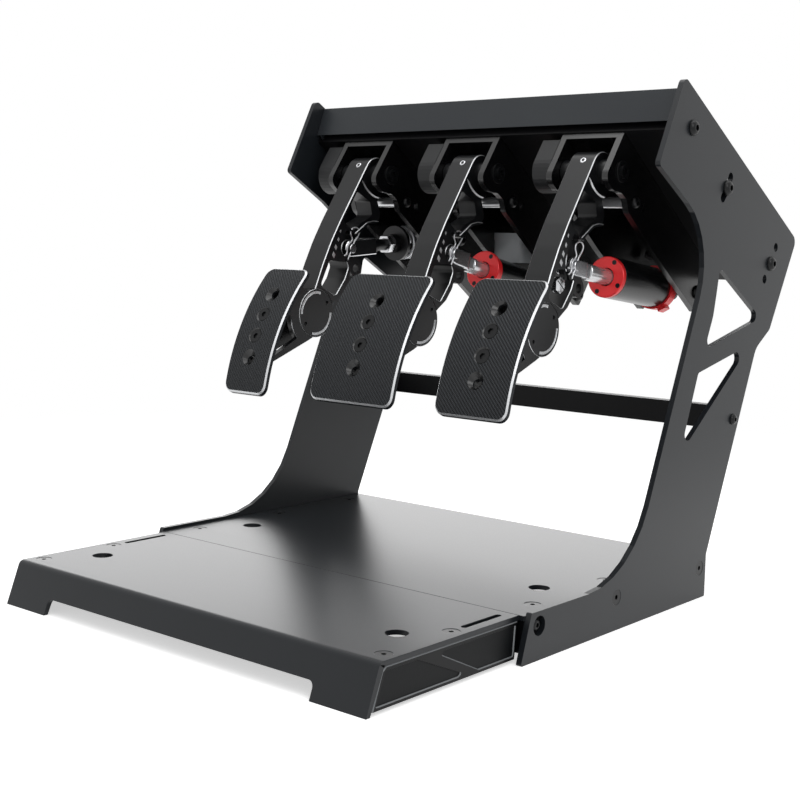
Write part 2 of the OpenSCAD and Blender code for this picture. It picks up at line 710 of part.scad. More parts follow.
// Arm outline in u and v: straight front face, waisted rear edge, open at the clamp disc
disc_uv = [26, 193.5];
arm_outline = [
    [pivot_u - hub_r, pivot_v, 0], [0, 100, 90], [1.5, 125, 90], [5, 150, 90], [10, 175, 2], [16, 193, 2],
    [36, 193, 2], [39.5, 172, 3], [45, 158, 8], [46, 143, 12], [42, 131, 12], [36, 119, 16], [30.5, 105, 16],
    [30, 92, 12], [37, 77, 8], [46, 69, 5], [50, 61, 4], [47, 55.5, 4], [34, 47, 5],
    [pivot_u + hub_r, pivot_v, 0]
];
arm_pocket = concat(
    [[3.2, 97, 1]], [for (p = arc([17.4, 17], 34, 117, 40, 8)) [p.x, p.y, 0]],
    [[58, 40, 0], [58, 58, 0], [47.5, 65.5, 0], [41, 69.5, 6], [33.5, 77, 8], [25.2, 97, 1]]
);
upper_arm_window = [
    [5.4, 59.4, 2], [27, 55.5, 4], [38, 64.5, 5], [36, 70, 5], [29, 81, 10], [23.8, 96, 3], [6.2, 96, 3]
];
lower_arm_window = [[10.5, 140.5, 4], [31, 126.5, 4], [37.5, 130, 5], [40, 142, 10], [38.6, 164, 4], [14.5, 169, 5]];
boss_r = 11;
lug_r = 9;
// The web beside the lug is a little thinner than the lug, so the lug's round front stands out
lug_step = 1;
function uv_of(p) = [
    (p.x - deck_y) * deck_cos - (p.y - deck_z) * deck_sin, -(p.x - deck_y) * deck_sin - (p.y - deck_z) * deck_cos
];
// Outline of the recess for the linkage: it leaves a front wall and is open to the rear
recess_top = [12.5, 99];
function recess(pin) = let (c = uv_of(pin), low = c.y + 13) [
    [recess_top.x, recess_top.y, 6], [recess_top.x + 0.12 * (low - recess_top.y), low, 9], [c.x + 12, c.y + 17, 0],
    [60, c.y, 0], [60, recess_top.y - 12, 0], [26, recess_top.y - 1, 2]
];

module arm(x, pin, lug_up) {
    half = arm_w / 2;
    lug_half = lug_t / 2;
    tongue_half = tongue_w / 2;
    high = pin + [0.12 * lug_up, lug_up];
    spare = pin + spare_hole;
    lug_dir = unit(spare_hole);
    lug_side = [-lug_dir.y, lug_dir.x];
    placed() difference() {
        union() {
            difference() {
                union() {
                    deck_slab(x - half, x + half) {
                        polygon(rounded(arm_outline));
                        translate([pivot_u, pivot_v]) circle(r = hub_r);
                    }
                    bar(pivot, boss_r, x - bracket_w / 2 + bracket_t + 0.5, x + bracket_w / 2 - bracket_t - 0.5);
                    bar(disc_c, disc_r - 1, x - tongue_half, x + tongue_half);
                }
                for (s = [-1, 1]) {
                    a = x + s * (lug_half - lug_step);
                    b = x + s * (half + 1);
                    deck_slab(min(a, b), max(a, b)) polygon(rounded(recess(pin)));
                }
            }
            // Lug for the linkage pin, with a spare hole below
            bar(pin, lug_r, x - lug_half, x + lug_half);
            bar(spare, 8.5, x - lug_half, x + lug_half);
            slab(x - lug_half, x + lug_half) polygon([
                pin + lug_r * lug_side, spare + 8.5 * lug_side, spare - 8.5 * lug_side, pin - lug_r * lug_side
            ]);
            if (lug_up > 0) {
                bar(high, lug_r, x - lug_half, x + lug_half);
                slab(x - lug_half, x + lug_half) polygon([
                    pin + [-lug_r, 0], high + [-lug_r, 0], high + [lug_r, 0], pin + [lug_r, 0]
                ]);
            }
        }
        bar(pivot, shaft_r + run_gap, x - bracket_w, x + bracket_w);
        for (s = [-1, 1]) {
            a = x + s * (half - pocket_d);
            b = x + s * (half + 1);
            deck_slab(min(a, b), max(a, b)) polygon(rounded(arm_pocket));
            // Seat of the pad bracket and clamp discs
            c = x + s * tongue_half;
            bar(disc_c, disc_r + side_gap, min(c, b), max(c, b));
        }
        deck_slab(x - half - 1, x + half + 1) polygon(rounded(upper_arm_window));
        deck_slab(x - half - 1, x + half + 1) polygon(rounded(lower_arm_window));
        bar(pin, pin_r + pin_play, x - half - 1, x + half + 1);
        bar(spare, 4.5, x - half - 1, x + half + 1);
        bar(disc_c, shaft_r + run_gap, x - half - 1, x + half + 1);
    }
}
module clutch_arm() color(black) arm(clutch_x, clutch_pin, 0);
module brake_arm() color(black) arm(brake_x, brake_pin, 0);
module throttle_arm() color(black) arm(throttle_x, throttle_pin, 15);

module pivot_shaft(x) placed() difference() {
    bar(pivot, shaft_r, x - bracket_w / 2 - 8, x + bracket_w / 2 + 4);
    translate([x + bracket_w / 2, pivot.x, pivot.y]) rotate([0, 90, 0]) hexagon(6, 1, 5);
}
module clutch_pivot_shaft() color(silver) pivot_shaft(clutch_x);
module brake_pivot_shaft() color(silver) pivot_shaft(brake_x);
module throttle_pivot_shaft() color(silver) pivot_shaft(throttle_x);

// Frame at the centre of the pad's curve, +Z out through the middle of its face
module pad_frame(x) {
    translate([x, pad_c.x, pad_c.y]) rotate([pad_angle, 0, 0]) children();
}

module shell(w, r_out, r_in, h) {
    intersection() {
        rotate([0, 90, 0]) difference() {
            cylinder(r = r_out, h = w + 2, center = true, $fn = 180);
            cylinder(r = r_in, h = w + 4, center = true, $fn = 180);
        }
        linear_extrude(r_out + 1) polygon(rounded([
            [-w / 2, -h / 2, pad_corner_r], [w / 2, -h / 2, pad_corner_r],
            [w / 2, h / 2, pad_corner_r], [-w / 2, h / 2, pad_corner_r]
        ]));
    }
}

pad_holes = [-1.5 * pad_pitch, -0.5 * pad_pitch, 0.5 * pad_pitch, 1.5 * pad_pitch];
function face_z(t) = sqrt(pad_curve_r * pad_curve_r - t * t);
carrier_r = pad_curve_r - pad_t;

module pad(x, w) placed() pad_frame(x) difference() {
    shell(w, pad_curve_r, carrier_r, pad_h);
    for (t = pad_holes) translate([0, t, face_z(t)]) sink(pad_screw_r + hole_gap, pad_sink_r, pad_t + 15);
}
module clutch_pad() color(black) pad(clutch_x, clutch_pad_w);
module brake_pad() color(black) pad(brake_x, brake_pad_w);
module throttle_pad() color(black) pad(throttle_x, throttle_pad_w);

module pad_screws(x) placed() pad_frame(x) for (t = [pad_holes[1], pad_holes[2]])
    translate([0, t, face_z(t) - 0.8]) sunk_screw(pad_screw_r, pad_sink_r - 1.2, pad_t + carrier_t + 3);
module clutch_pad_screws() color(black) pad_screws(clutch_x);
module brake_pad_screws() color(black) pad_screws(brake_x);
module throttle_pad_screws() color(black) pad_screws(throttle_x);

// Pad bracket: two windowed webs from the clamp disc to the curved carrier behind the pad
web_out = concat(
    [disc_c + [0, -11], disc_c + [-3.5, -23.2], disc_c + [-10.5, -26.3]],
    arc(pad_c, carrier_r - 1.5, pad_angle + 90 + 11.2, pad_angle + 90 - 14.2, 10),
    [disc_c + [-11.5, 21.6], disc_c + [0, 11]]
);
rim_r = disc_r + 12;
web_window = concat(
    [[disc_c.x - 37.5, disc_c.y + 2, 2]],
    [for (p = arc(disc_c, rim_r, 184, 222, 6)) [p.x, p.y, 0]],
    [for (p = arc(pad_c, pad_curve_r - 17, pad_angle + 90 + 7.2, pad_angle + 90 - 4, 6)) [p.x, p.y, 0.6]]
);
module pad_bracket(x, w) placed() {
    half = arm_w / 2;
    web_in = tongue_w / 2 + 0.1;
    difference() {
        union() {
            for (s = [-1, 1]) {
                a = x + s * web_in;
                b = x + s * half;
                difference() {
                    union() {
                        bar(disc_c, disc_r, min(a, b), max(a, b));
                        slab(min(a, b), max(a, b)) polygon(web_out);
                    }
                    slab(min(a, b) - 1, max(a, b) + 1) polygon(rounded(web_window));
                    c = x + s * (half - disc_t);
                    bar(disc_c, disc_r + side_gap, min(c, b + s), max(c, b + s));
                }
            }
            pad_frame(x) shell(w, carrier_r, carrier_r - carrier_t, pad_h);
        }
        bar(disc_c, shaft_r + run_gap, x - half - 1, x + half + 1);
        pad_frame(x) for (t = pad_holes) translate([0, t, 0]) rod(pad_screw_r + thread_gap, face_z(t) - 4 * pad_t, face_z(t));
    }
}
module clutch_pad_bracket() color(black) pad_bracket(clutch_x, clutch_pad_w);
module brake_pad_bracket() color(black) pad_bracket(brake_x, brake_pad_w);
module throttle_pad_bracket() color(black) pad_bracket(throttle_x, throttle_pad_w);

// Clamp disc: a head on each side of the arm joined by the clamp pin, with two curved marks
mark_r = 19.2;
mark_w = 2.6;
mark_d = 0.8;
module clamp_disc(x) placed() difference() {
    half = arm_w / 2;
    union() {
        bar(disc_c, shaft_r, x - half + 1, x + half - 1);
        for (s = [-1, 1]) {
            a = x + s * (half - disc_t);
            b = x + s * half;
            bar(disc_c, disc_r, min(a, b), max(a, b));
        }
    }
    for (s = [-1, 1]) {
        b = x + s * half;
        for (g = [-1, 1]) bar(disc_c + g * [15, 10], 1.8, min(b, b - 2 * s), max(b, b - 2 * s) + eps);
        for (g = [75, 255]) translate([b - (s > 0 ? mark_d : 1), disc_c.x, disc_c.y]) rotate([90, 0, 90])
            rotate([0, 0, g]) rotate_extrude(angle = 105) translate([mark_r, 0]) square([mark_w, mark_d + 1]);
    }
}
module clutch_clamp_disc() color(black) clamp_disc(clutch_x);
module brake_clamp_disc() color(black) clamp_disc(brake_x);
module throttle_clamp_disc() color(black) clamp_disc(throttle_x);

// Linkage: fork, rod, pin and R-clip, with +Z from the pin to the rear pivot
fork_slot = lug_t + 2 * side_gap;
fork_deep = 28;
module clevis(x, from, to) placed() toward(x, from, to) difference() {
    union() {
        rotate([0, 90, 0]) cylinder(r = clevis_h / 2, h = clevis_w, center = true);
        block(clevis_w, clevis_h, 0, clevis_len - 6);
        rod(clevis_h / 2, clevis_len - 7, clevis_len);
    }
    translate([-fork_slot / 2, -clevis_h, -clevis_h]) cube([fork_slot, 2 * clevis_h, clevis_h + fork_deep]);
    rotate([0, 90, 0]) cylinder(r = pin_r + run_gap, h = clevis_w + 2, center = true);
    rod(rod_r + thread_gap, fork_deep + 4, clevis_len + 1);
}
module clutch_clevis() color(black) clevis(clutch_x, clutch_pin, clutch_rear);
module brake_clevis() color(silver) clevis(brake_x, brake_pin, brake_rear);
module throttle_clevis() color(silver) clevis(throttle_x, throttle_pin, throttle_rear);

clip_x = arm_w / 2 + clip_wire_r + 0.4;
pin_head_t = 2.5;
module clevis_pin(x, from) placed() difference() {
    union() {
        bar(from, pin_r, x - clevis_w / 2, x + clip_x + clip_wire_r + 2);
        bar(from, pin_r + 2, x - clevis_w / 2 - pin_head_t, x - clevis_w / 2);
    }
    translate([x + clip_x, from.x, from.y]) rotate([-clip_lean, 0, 0])
        cylinder(r = clip_wire_r + 0.1, h = 4 * pin_r, center = true);
}
module clutch_clevis_pin() color(silver) clevis_pin(clutch_x, clutch_pin);
module brake_clevis_pin() color(silver) clevis_pin(brake_x, brake_pin);
module throttle_clevis_pin() color(silver) clevis_pin(throttle_x, throttle_pin);

// R-clip: one leg through the pin, a loop above, and the other leg bowed round the pin
clip_lean = 16;
bow_r = pin_r + clip_wire_r + 0.7;
clip_path = concat(
    [[0, -13], [0, 12]], [for (p = arc([-2, 17], 4, -30, 210, 12)) p], [[-2.8, 9.5]],
    arc([0, 0], bow_r, 128, 232, 8), [[-1.8, -7.4], [-4.6, -10.6]]
);
// Rings of a wire of radius r along a path in the Y-Z plane
function wire_ring(path, i, r, sides) =
    let (n = len(path), a = path[max(0, i - 1)], b = path[min(n - 1, i + 1)], t = unit(b - a))
    [for (k = [0:sides - 1]) let (g = 360 * k / sides)
        [r * cos(g), path[i].x - r * sin(g) * t.y, path[i].y + r * sin(g) * t.x]];
function tube_faces(rings, sides) = concat(
    [[for (k = [0:sides - 1]) sides - 1 - k]],
    [for (i = [0:rings - 2], k = [0:sides - 1]) let (k1 = (k + 1) % sides) each [
        [i * sides + k, i * sides + k1, (i + 1) * sides + k1],
        [i * sides + k, (i + 1) * sides + k1, (i + 1) * sides + k]
    ]],
    [[for (k = [0:sides - 1]) (rings - 1) * sides + k]]
);
module r_clip(x, from) placed() translate([x + clip_x, from.x, from.y]) rotate([-clip_lean, 0, 0]) {
    sides = 8;
    n = len(clip_path);
    polyhedron([for (i = [0:n - 1]) each wire_ring(clip_path, i, clip_wire_r, sides)], tube_faces(n, sides));
}
module clutch_r_clip() color(silver) r_clip(clutch_x, clutch_pin);
module brake_r_clip() color(silver) r_clip(brake_x, brake_pin);
module throttle_r_clip() color(silver) r_clip(throttle_x, throttle_pin);

// Brake and throttle: the rod's piston runs in a tube between two red collars
flange_r = 22;
flange_t = 5;
collar_len = 5;
rear_ring_len = 10;
piston_at = 17.5;
piston_len = 8;
rear_gap = 25;
eye_r = 8;
eye_w = 16;
piston_gap = 0.1;
brake_flange_at = 58.5;
throttle_flange_at = 66.1;

module push_rod(x, from, to, flange_at, tube_r) placed() toward(x, from, to) {
    rod(rod_r, fork_deep + 5, flange_at + piston_at + piston_len - eps);
    rod(tube_r - tube_wall - piston_gap, flange_at + piston_at, flange_at + piston_at + piston_len);
}
module brake_rod() color(silver) push_rod(brake_x, brake_pin, brake_rear, brake_flange_at, brake_tube_r);
module throttle_rod() color(silver)
    push_rod(throttle_x, throttle_pin, throttle_rear, throttle_flange_at, throttle_tube_r);

module rear_eye(len, start) {
    difference() {
        union() {
            translate([0, 0, len]) rotate([0, 90, 0]) cylinder(r = eye_r, h = eye_w, center = true);
            block(eye_w, 1.5 * eye_r, start, len);
        }
        translate([0, 0, len]) rotate([0, 90, 0]) cylinder(r = bolt_r + run_gap, h = eye_w + 2, center = true);
    }
}

module cylinder_tube(x, from, to, flange_at, tube_r) placed() toward(x, from, to) {
    len = norm(to - from);
    front = flange_at + flange_t;
    rear = len - rear_gap + rear_ring_len / 2;
    bore_r = tube_r - tube_wall;
    difference() {
        rod(tube_r, front, rear);
        rod(flange_r - 10, front - 1, front + 7);
        rod(rod_r + run_gap, front, front + 13);
        rod(bore_r, front + 12, rear - 12);
    }
    rear_eye(len, rear - eps);
}
module brake_cylinder() color(black) cylinder_tube(brake_x, brake_pin, brake_rear, brake_flange_at, brake_tube_r);
module throttle_cylinder() color(black)
    cylinder_tube(throttle_x, throttle_pin, throttle_rear, throttle_flange_at, throttle_tube_r);

module collars(x, from, to, flange_at, tube_r) placed() toward(x, from, to) {
    len = norm(to - from);
    difference() {
        union() {
            rod(flange_r, flange_at, flange_at + flange_t);
            rod(tube_r + 1.5, flange_at, flange_at + flange_t + collar_len);
        }
        rod(flange_r - 10, flange_at - 1, flange_at + flange_t + 1);
        rod(tube_r + run_gap, flange_at + flange_t, flange_at + flange_t + collar_len + 1);
        for (g = [45:90:315]) rotate([0, 0, g]) translate([flange_r - 4, 0, flange_at - 1]) cylinder(r = 1.8, h = 4);
    }
    difference() {
        union() {
            rod(tube_r + 2, len - rear_gap - rear_ring_len / 2, len - rear_gap + rear_ring_len / 2);
            rotate([0, 0, 60]) translate([tube_r - 1, -4, len - rear_gap - rear_ring_len / 2]) cube([6.5, 8, rear_ring_len]);
        }
        rod(tube_r + run_gap, len - rear_gap - rear_ring_len, len - rear_gap + rear_ring_len);
    }
}
module brake_collars() color(red) collars(brake_x, brake_pin, brake_rear, brake_flange_at, brake_tube_r);
module throttle_collars() color(red)
    collars(throttle_x, throttle_pin, throttle_rear, throttle_flange_at, throttle_tube_r);

// Clutch: an open spring between the rod's seat and the guide on the rear pivot
nut_at = 62;
nut_len = 8;
seat_at = nut_at + nut_len;
seat_end = 83;
seat_t = 4;
guide_at = 130;
guide_front = 103;
guide_r = 8.5;
rod_end = 118;
seat_r = spring_r + 0.5;
nut_af = 17;
module clutch_rod() color(black) placed() toward(clutch_x, clutch_pin, clutch_rear) {
    rod(rod_r, fork_deep + 5, rod_end);
    rod(rod_r + 4, seat_at, seat_end);
    rod(seat_r, seat_end - seat_t, seat_end);
}
module clutch_spring_nut() color(silver) placed() toward(clutch_x, clutch_pin, clutch_rear)
    translate([0, 0, nut_at]) nut(nut_af, rod_r, nut_len);
module clutch_cylinder() color(black) placed() toward(clutch_x, clutch_pin, clutch_rear) {
    len = norm(clutch_rear - clutch_pin);
    difference() {
        union() {
            rod(guide_r, guide_front, guide_at + 1);
            rod(seat_r, guide_at, guide_at + seat_t);
            rod(guide_r + 2, guide_at, len - eye_r);
            block(eye_w, 13, len - eye_r - 2, len);
            translate([0, 0, len]) rotate([0, 90, 0]) cylinder(r = 7, h = eye_w, center = true);
        }
        rod(rod_r + run_gap, guide_front - 1, len - eye_r - 3);
        translate([0, 0, len]) rotate([0, 90, 0]) cylinder(r = bolt_r + run_gap, h = eye_w + 2, center = true);
    }
}

// One unbroken wire: 8 rings to a coil, 6 sides, square ends that rest on the seats
spring_rings = 8;
spring_sides = 6;
spring_end_gap = 0.3;
coil_r = spring_r - spring_wire_r;
spring_z0 = seat_end + spring_wire_r + spring_end_gap;
spring_z1 = guide_at - spring_wire_r - spring_end_gap;
spring_pitch = (spring_z1 - spring_z0) / spring_coils;
function coil_ring(i) =
    let (g = 360 * i / spring_rings, out = [cos(g), sin(g), 0], rise = spring_pitch / (2 * PI * coil_r))
    let (along = unit([-sin(g), cos(g), rise]), up = cross(out, along))
    let (c = coil_r * out + [0, 0, spring_z0 + spring_pitch * i / spring_rings])
    [for (k = [0:spring_sides - 1]) let (a = 360 * k / spring_sides)
        c + spring_wire_r * (cos(a) * out - sin(a) * up)];
module clutch_spring() color(silver) placed() toward(clutch_x, clutch_pin, clutch_rear) {
    n = spring_coils * spring_rings + 1;
    polyhedron([for (i = [0:n - 1]) each coil_ring(i)], tube_faces(n, spring_sides));
}
// The least gap is between points of neighbouring coils, measured on the wire's own rings
spring_gap = min([for (a = coil_ring(0), i = [spring_rings - 2:spring_rings + 2], b = coil_ring(i)) norm(a - b)]);
echo(clutch_spring_least_gap = spring_gap);

side_plate_left();
side_plate_right();
heel_plate();
heel_extension();
heel_rails();
extension_rails();
extension_trims();
heel_screws();
rear_cross_bar();
front_valance();
pedal_deck();
frame_bolts();
control_box();
control_box_lid();
pivot_bearings();
bracket_cross_bolts();
bracket_screws();
clutch_bracket();
clutch_sensor_housing();
clutch_arm();
clutch_pivot_shaft();
clutch_pad_bracket();
clutch_clamp_disc();
clutch_pad();
clutch_pad_screws();
clutch_clevis();
clutch_rod();
clutch_clevis_pin();
clutch_r_clip();
clutch_cylinder();
clutch_spring();
clutch_spring_nut();
brake_bracket();
brake_sensor_housing();
brake_arm();
brake_pivot_shaft();
brake_pad_bracket();
brake_clamp_disc();
brake_pad();
brake_pad_screws();
brake_clevis();
brake_rod();
brake_clevis_pin();
brake_r_clip();
brake_cylinder();
brake_collars();
throttle_bracket();
throttle_sensor_housing();
throttle_arm();
throttle_pivot_shaft();
throttle_pad_bracket();
throttle_clamp_disc();
throttle_pad();
throttle_pad_screws();
throttle_clevis();
throttle_rod();
throttle_clevis_pin();
throttle_r_clip();
throttle_cylinder();
throttle_collars();
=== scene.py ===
# Inverted sim racing pedals with their side plates and heel plates, in a pale studio.
import json
import math
import bmesh
import bpy
from mathutils import Matrix, Vector


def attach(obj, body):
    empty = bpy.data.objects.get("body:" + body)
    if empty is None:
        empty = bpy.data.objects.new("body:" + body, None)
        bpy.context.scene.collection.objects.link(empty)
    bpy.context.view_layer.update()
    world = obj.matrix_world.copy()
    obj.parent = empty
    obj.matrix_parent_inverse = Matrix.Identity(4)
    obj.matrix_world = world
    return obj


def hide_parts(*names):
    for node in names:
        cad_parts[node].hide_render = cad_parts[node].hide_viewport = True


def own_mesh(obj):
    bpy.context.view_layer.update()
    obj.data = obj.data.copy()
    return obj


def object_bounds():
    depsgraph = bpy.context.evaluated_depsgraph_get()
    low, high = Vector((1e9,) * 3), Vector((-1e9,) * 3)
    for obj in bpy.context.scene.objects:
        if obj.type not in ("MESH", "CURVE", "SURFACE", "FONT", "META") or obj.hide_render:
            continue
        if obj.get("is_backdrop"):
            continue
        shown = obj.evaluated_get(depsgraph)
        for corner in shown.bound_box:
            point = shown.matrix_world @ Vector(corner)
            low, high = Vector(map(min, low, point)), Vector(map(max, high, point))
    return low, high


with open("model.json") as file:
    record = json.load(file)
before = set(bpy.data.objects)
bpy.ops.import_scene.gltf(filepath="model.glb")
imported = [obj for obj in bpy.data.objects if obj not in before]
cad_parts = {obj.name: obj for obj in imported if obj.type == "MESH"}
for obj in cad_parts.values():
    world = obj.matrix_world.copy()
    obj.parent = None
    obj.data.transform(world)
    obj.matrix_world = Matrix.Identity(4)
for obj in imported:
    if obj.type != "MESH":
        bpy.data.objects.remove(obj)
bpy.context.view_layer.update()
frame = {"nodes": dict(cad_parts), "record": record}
nodes = frame["nodes"]
bodies = frame["record"]["behaviour"]["bodies"]
bodyOf = {node: body for body, members in bodies.items() for node in members}
mm = 0.001

# Places in millimetres: each pedal's middle, pad width and linkage, from the pivot that its arm swings on
pedals = {
    "clutch": {"x": -143.5, "pad": 46, "pin": (-33, -75), "rear": (118, -63.5)},
    "brake": {"x": -9.6, "pad": 94, "pin": (-33, -77), "rear": (148, -118)},
    "throttle": {"x": 126.7, "pad": 66, "pin": (-33, -84.4), "rear": (150, -109.8)},
}
pivot = Vector((0, 77.610, 389.675))
slope = math.radians(35)
toRight = Vector((1, 0, 0))
down = Vector((0, math.cos(slope), -math.sin(slope)))     # along the deck, to the rear
away = Vector((0, -math.sin(slope), -math.cos(slope)))    # away from the deck, down and to the front
pivotPlace = (17, 30)                                     # the pivot's u and v on a drawing of the arm
disc = (-86.5, -139)                                      # the clamp disc's middle, from the pivot
padTilt = math.radians(62.6)
padRadius = 220
padMiddle = (-152.5 + padRadius * math.sin(padTilt), -148.6 - padRadius * math.cos(padTilt))


def atPivot(x, dy, dz):
    return Vector((x, pivot.y + dy, pivot.z + dz)) * mm


# u runs along the deck and v away from it, as on a drawing of the arm
def onArm(x, u, v):
    return (Vector((x, pivot.y, pivot.z)) + down * (u - pivotPlace[0]) + away * (v - pivotPlace[1])) * mm


# The same way back, for a point in millimetres
def armPlace(point):
    reach = Vector((0, point.y - pivot.y, point.z - pivot.z))
    return pivotPlace[0] + reach.dot(down), pivotPlace[1] + reach.dot(away)


def linear(hexColour):
    shares = [int(hexColour[i:i + 2], 16) / 255 for i in (1, 3, 5)]
    return [c / 12.92 if c < 0.04046 else ((c + 0.055) / 1.055) ** 2.4 for c in shares] + [1.0]


def addNode(tree, kind, values=None, links=None, **settings):
    node = tree.nodes.new(kind)
    for name, value in settings.items():
        setattr(node, name, value)
    for socket, value in (values or {}).items():
        node.inputs[socket].default_value = value
    for socket, source in (links or {}).items():
        tree.links.new(source, node.inputs[socket])
    return node


def newMaterial(name):
    material = bpy.data.materials.new(name)
    material.use_nodes = True
    tree = material.node_tree
    tree.nodes.clear()
    shader = addNode(tree, "ShaderNodeBsdfPrincipled")
    addNode(tree, "ShaderNodeOutputMaterial", links={"Surface": shader.outputs["BSDF"]})
    place = addNode(tree, "ShaderNodeTexCoord").outputs["Object"]
    return material, tree, shader, place


# The look most finishes share: two close tones that drift over patchSize, and grains of grainSize (both in
# millimetres) that vary the roughness and stand up by grainHeight
def finish(name, tones, roughness, spread, patchSize, grainSize, grainHeight, stretch=(1, 1, 1), metallic=0.0,
           gloss=0.5):
    material, tree, shader, place = newMaterial(name)
    patches = addNode(tree, "ShaderNodeTexNoise", {"Scale": 1 / (patchSize * mm), "Detail": 2.0},
                      {"Vector": place})
    colour = addNode(tree, "ShaderNodeMix", {6: linear(tones[0]), 7: linear(tones[1])},
                     {0: patches.outputs["Fac"]}, data_type="RGBA")
    along = addNode(tree, "ShaderNodeMapping", {"Scale": stretch}, {"Vector": place})
    grains = addNode(tree, "ShaderNodeTexNoise", {"Scale": 1 / (grainSize * mm), "Detail": 3.0},
                     {"Vector": along.outputs["Vector"]})
    rough = addNode(tree, "ShaderNodeMapRange", {"To Min": roughness - spread, "To Max": roughness + spread},
                    {"Value": grains.outputs["Fac"]})
    bump = addNode(tree, "ShaderNodeBump", {"Strength": 0.6, "Distance": grainHeight * mm},
                   {"Height": grains.outputs["Fac"]})
    tree.links.new(colour.outputs[2], shader.inputs["Base Color"])
    tree.links.new(rough.outputs["Result"], shader.inputs["Roughness"])
    tree.links.new(bump.outputs["Normal"], shader.inputs["Normal"])
    shader.inputs["Metallic"].default_value = metallic
    shader.inputs["Specular IOR Level"].default_value = gloss
    return material


# Steel sheet under a satin black powder coat; its orange peel is drawn at 0.9 mm so that it shows
powderCoat = finish("powderCoatedSteel", ("#181b1e", "#1e2125"), 0.3, 0.04, 60, 0.9, 0.006, gloss=0.3)
# The deck, rear bar and rails lie in the shade, so they get a darker copy of the same powder coat: painted
# shade
shadedPowderCoat = finish("paintedShadePowderCoat", ("#060608", "#0a0a0c"), 0.42, 0.05, 60, 0.9, 0.008, gloss=0.18)
# The valance leans forward into the light and shows its satin, so it gets a paler copy of the same powder
# coat: painted light
litPowderCoat = finish("paintedLightPowderCoat", ("#272a2e", "#2e3235"), 0.4, 0.05, 60, 0.9, 0.008, gloss=0.3)
# Arms: machined aluminium, bead blasted and anodised black, an even satin
blackAnodised = finish("blackAnodisedAluminium", ("#0b0c0e", "#101113"), 0.34, 0.04, 30, 0.5, 0.003,
                       gloss=0.36)
# Brackets are anodised glossier, so their edges shine while their cheeks stay black
bracketBlack = finish("brightBlackAnodisedAluminium", ("#050506", "#08080a"), 0.24, 0.03, 30, 0.5, 0.002,
                      gloss=0.6)
# Edges cut after the anodising are bare aluminium with the cutter's fine lines
bareEdge = finish("bareCutAluminium", ("#c2c4c6", "#d0d1d3"), 0.4, 0.06, 8, 0.4, 0.002, metallic=0.75)
# Clevises: milled stainless steel with fine marks across
milledSteel = finish("milledStainlessSteel", ("#c9cacd", "#dadbde"), 0.26, 0.08, 6, 0.5, 0.002, (1, 8, 1),
                     metallic=1.0)
# Push rods: ground and chromed; a little white haze keeps them silver beside the red collars
chromedSteel = finish("chromedRod", ("#c6c8ca", "#d2d3d5"), 0.2, 0.03, 20, 0.3, 0.0005, metallic=0.7)
# Spring wire, drawn bright and lightly matt
springSteel = finish("drawnSpringSteel", ("#cfd0d3", "#dfe0e3"), 0.36, 0.06, 6, 0.3, 0.001, metallic=0.8)
# Collars: turned aluminium anodised red, a clear dye over metal
redAnodised = finish("redAnodisedAluminium", ("#f81f26", "#ff2b30"), 0.3, 0.05, 15, 0.4, 0.002, metallic=0.1)
# Countersinks of the pads: cut with a fine tool and anodised, so they mirror the lamps
sinkBlack = finish("glossBlackAnodisedCut", ("#08090a", "#0d0e10"), 0.27, 0.03, 20, 0.3, 0.001, metallic=0.35,
                   gloss=0.8)
# Sensor caps: black ABS moulded in a sparked mould
blackAbs = finish("mouldedBlackAbs", ("#0f1012", "#151618"), 0.44, 0.04, 25, 0.6, 0.008, gloss=0.35)
# Control box: grey ABS, finely grained
greyAbs = finish("mouldedGreyAbs", ("#a2a7aa", "#adb1b4"), 0.42, 0.04, 25, 0.6, 0.008)
# Socket screws and bushes: black oxide over steel, thin and slightly oily
blackOxide = finish("blackOxideSteel", ("#0b0c0d", "#141517"), 0.3, 0.06, 5, 0.4, 0.003, metallic=0.3,
                    gloss=0.35)
# Tubes: black anodised and turned, so the sheen runs round them
tubeBlack = finish("turnedBlackAluminium", ("#0a0b0c", "#101112"), 0.25, 0.04, 20, 0.4, 0.002, gloss=0.4)
# Trims: satin black ABS; the fine moulded texture of their recesses is drawn as grains about 1.6 mm apart
trimAbs = finish("satinBlackAbs", ("#070809", "#0b0c0e"), 0.36, 0.04, 25, 0.6, 0.006, gloss=0.17)
trimGrid = finish("griddedBlackAbs", ("#050607", "#111315"), 0.5, 0.04, 1.6, 1.6, 0.1, gloss=0.15)
# The rounded ridges of the trims get a pale grey where they catch the light: a painted highlight
trimPaintedHighlight = finish("paintedHighlightAbsRidge", ("#6c6f72", "#7b7e81"), 0.3, 0.04, 12, 0.6, 0.002)
print("materials ready")

# A pad's face is knurled: ridges at 45 degrees to its edge, 2.5 mm apart as they show in the photograph,
# crossed by finer and lower ones. Both are drawn coarser than the real 0.8 mm so that they show
# The valleys are painted dark and the ridges paler, as painted shade and painted highlight that follow the
# knurl's height
knurl = {"pitch": 2.5, "crossed": 1.8, "crossedHeight": 0.35, "height": 0.35, "shadedValley": "#040506",
         "litRidge": "#33363a", "roughness": 0.4, "gloss": 0.16}


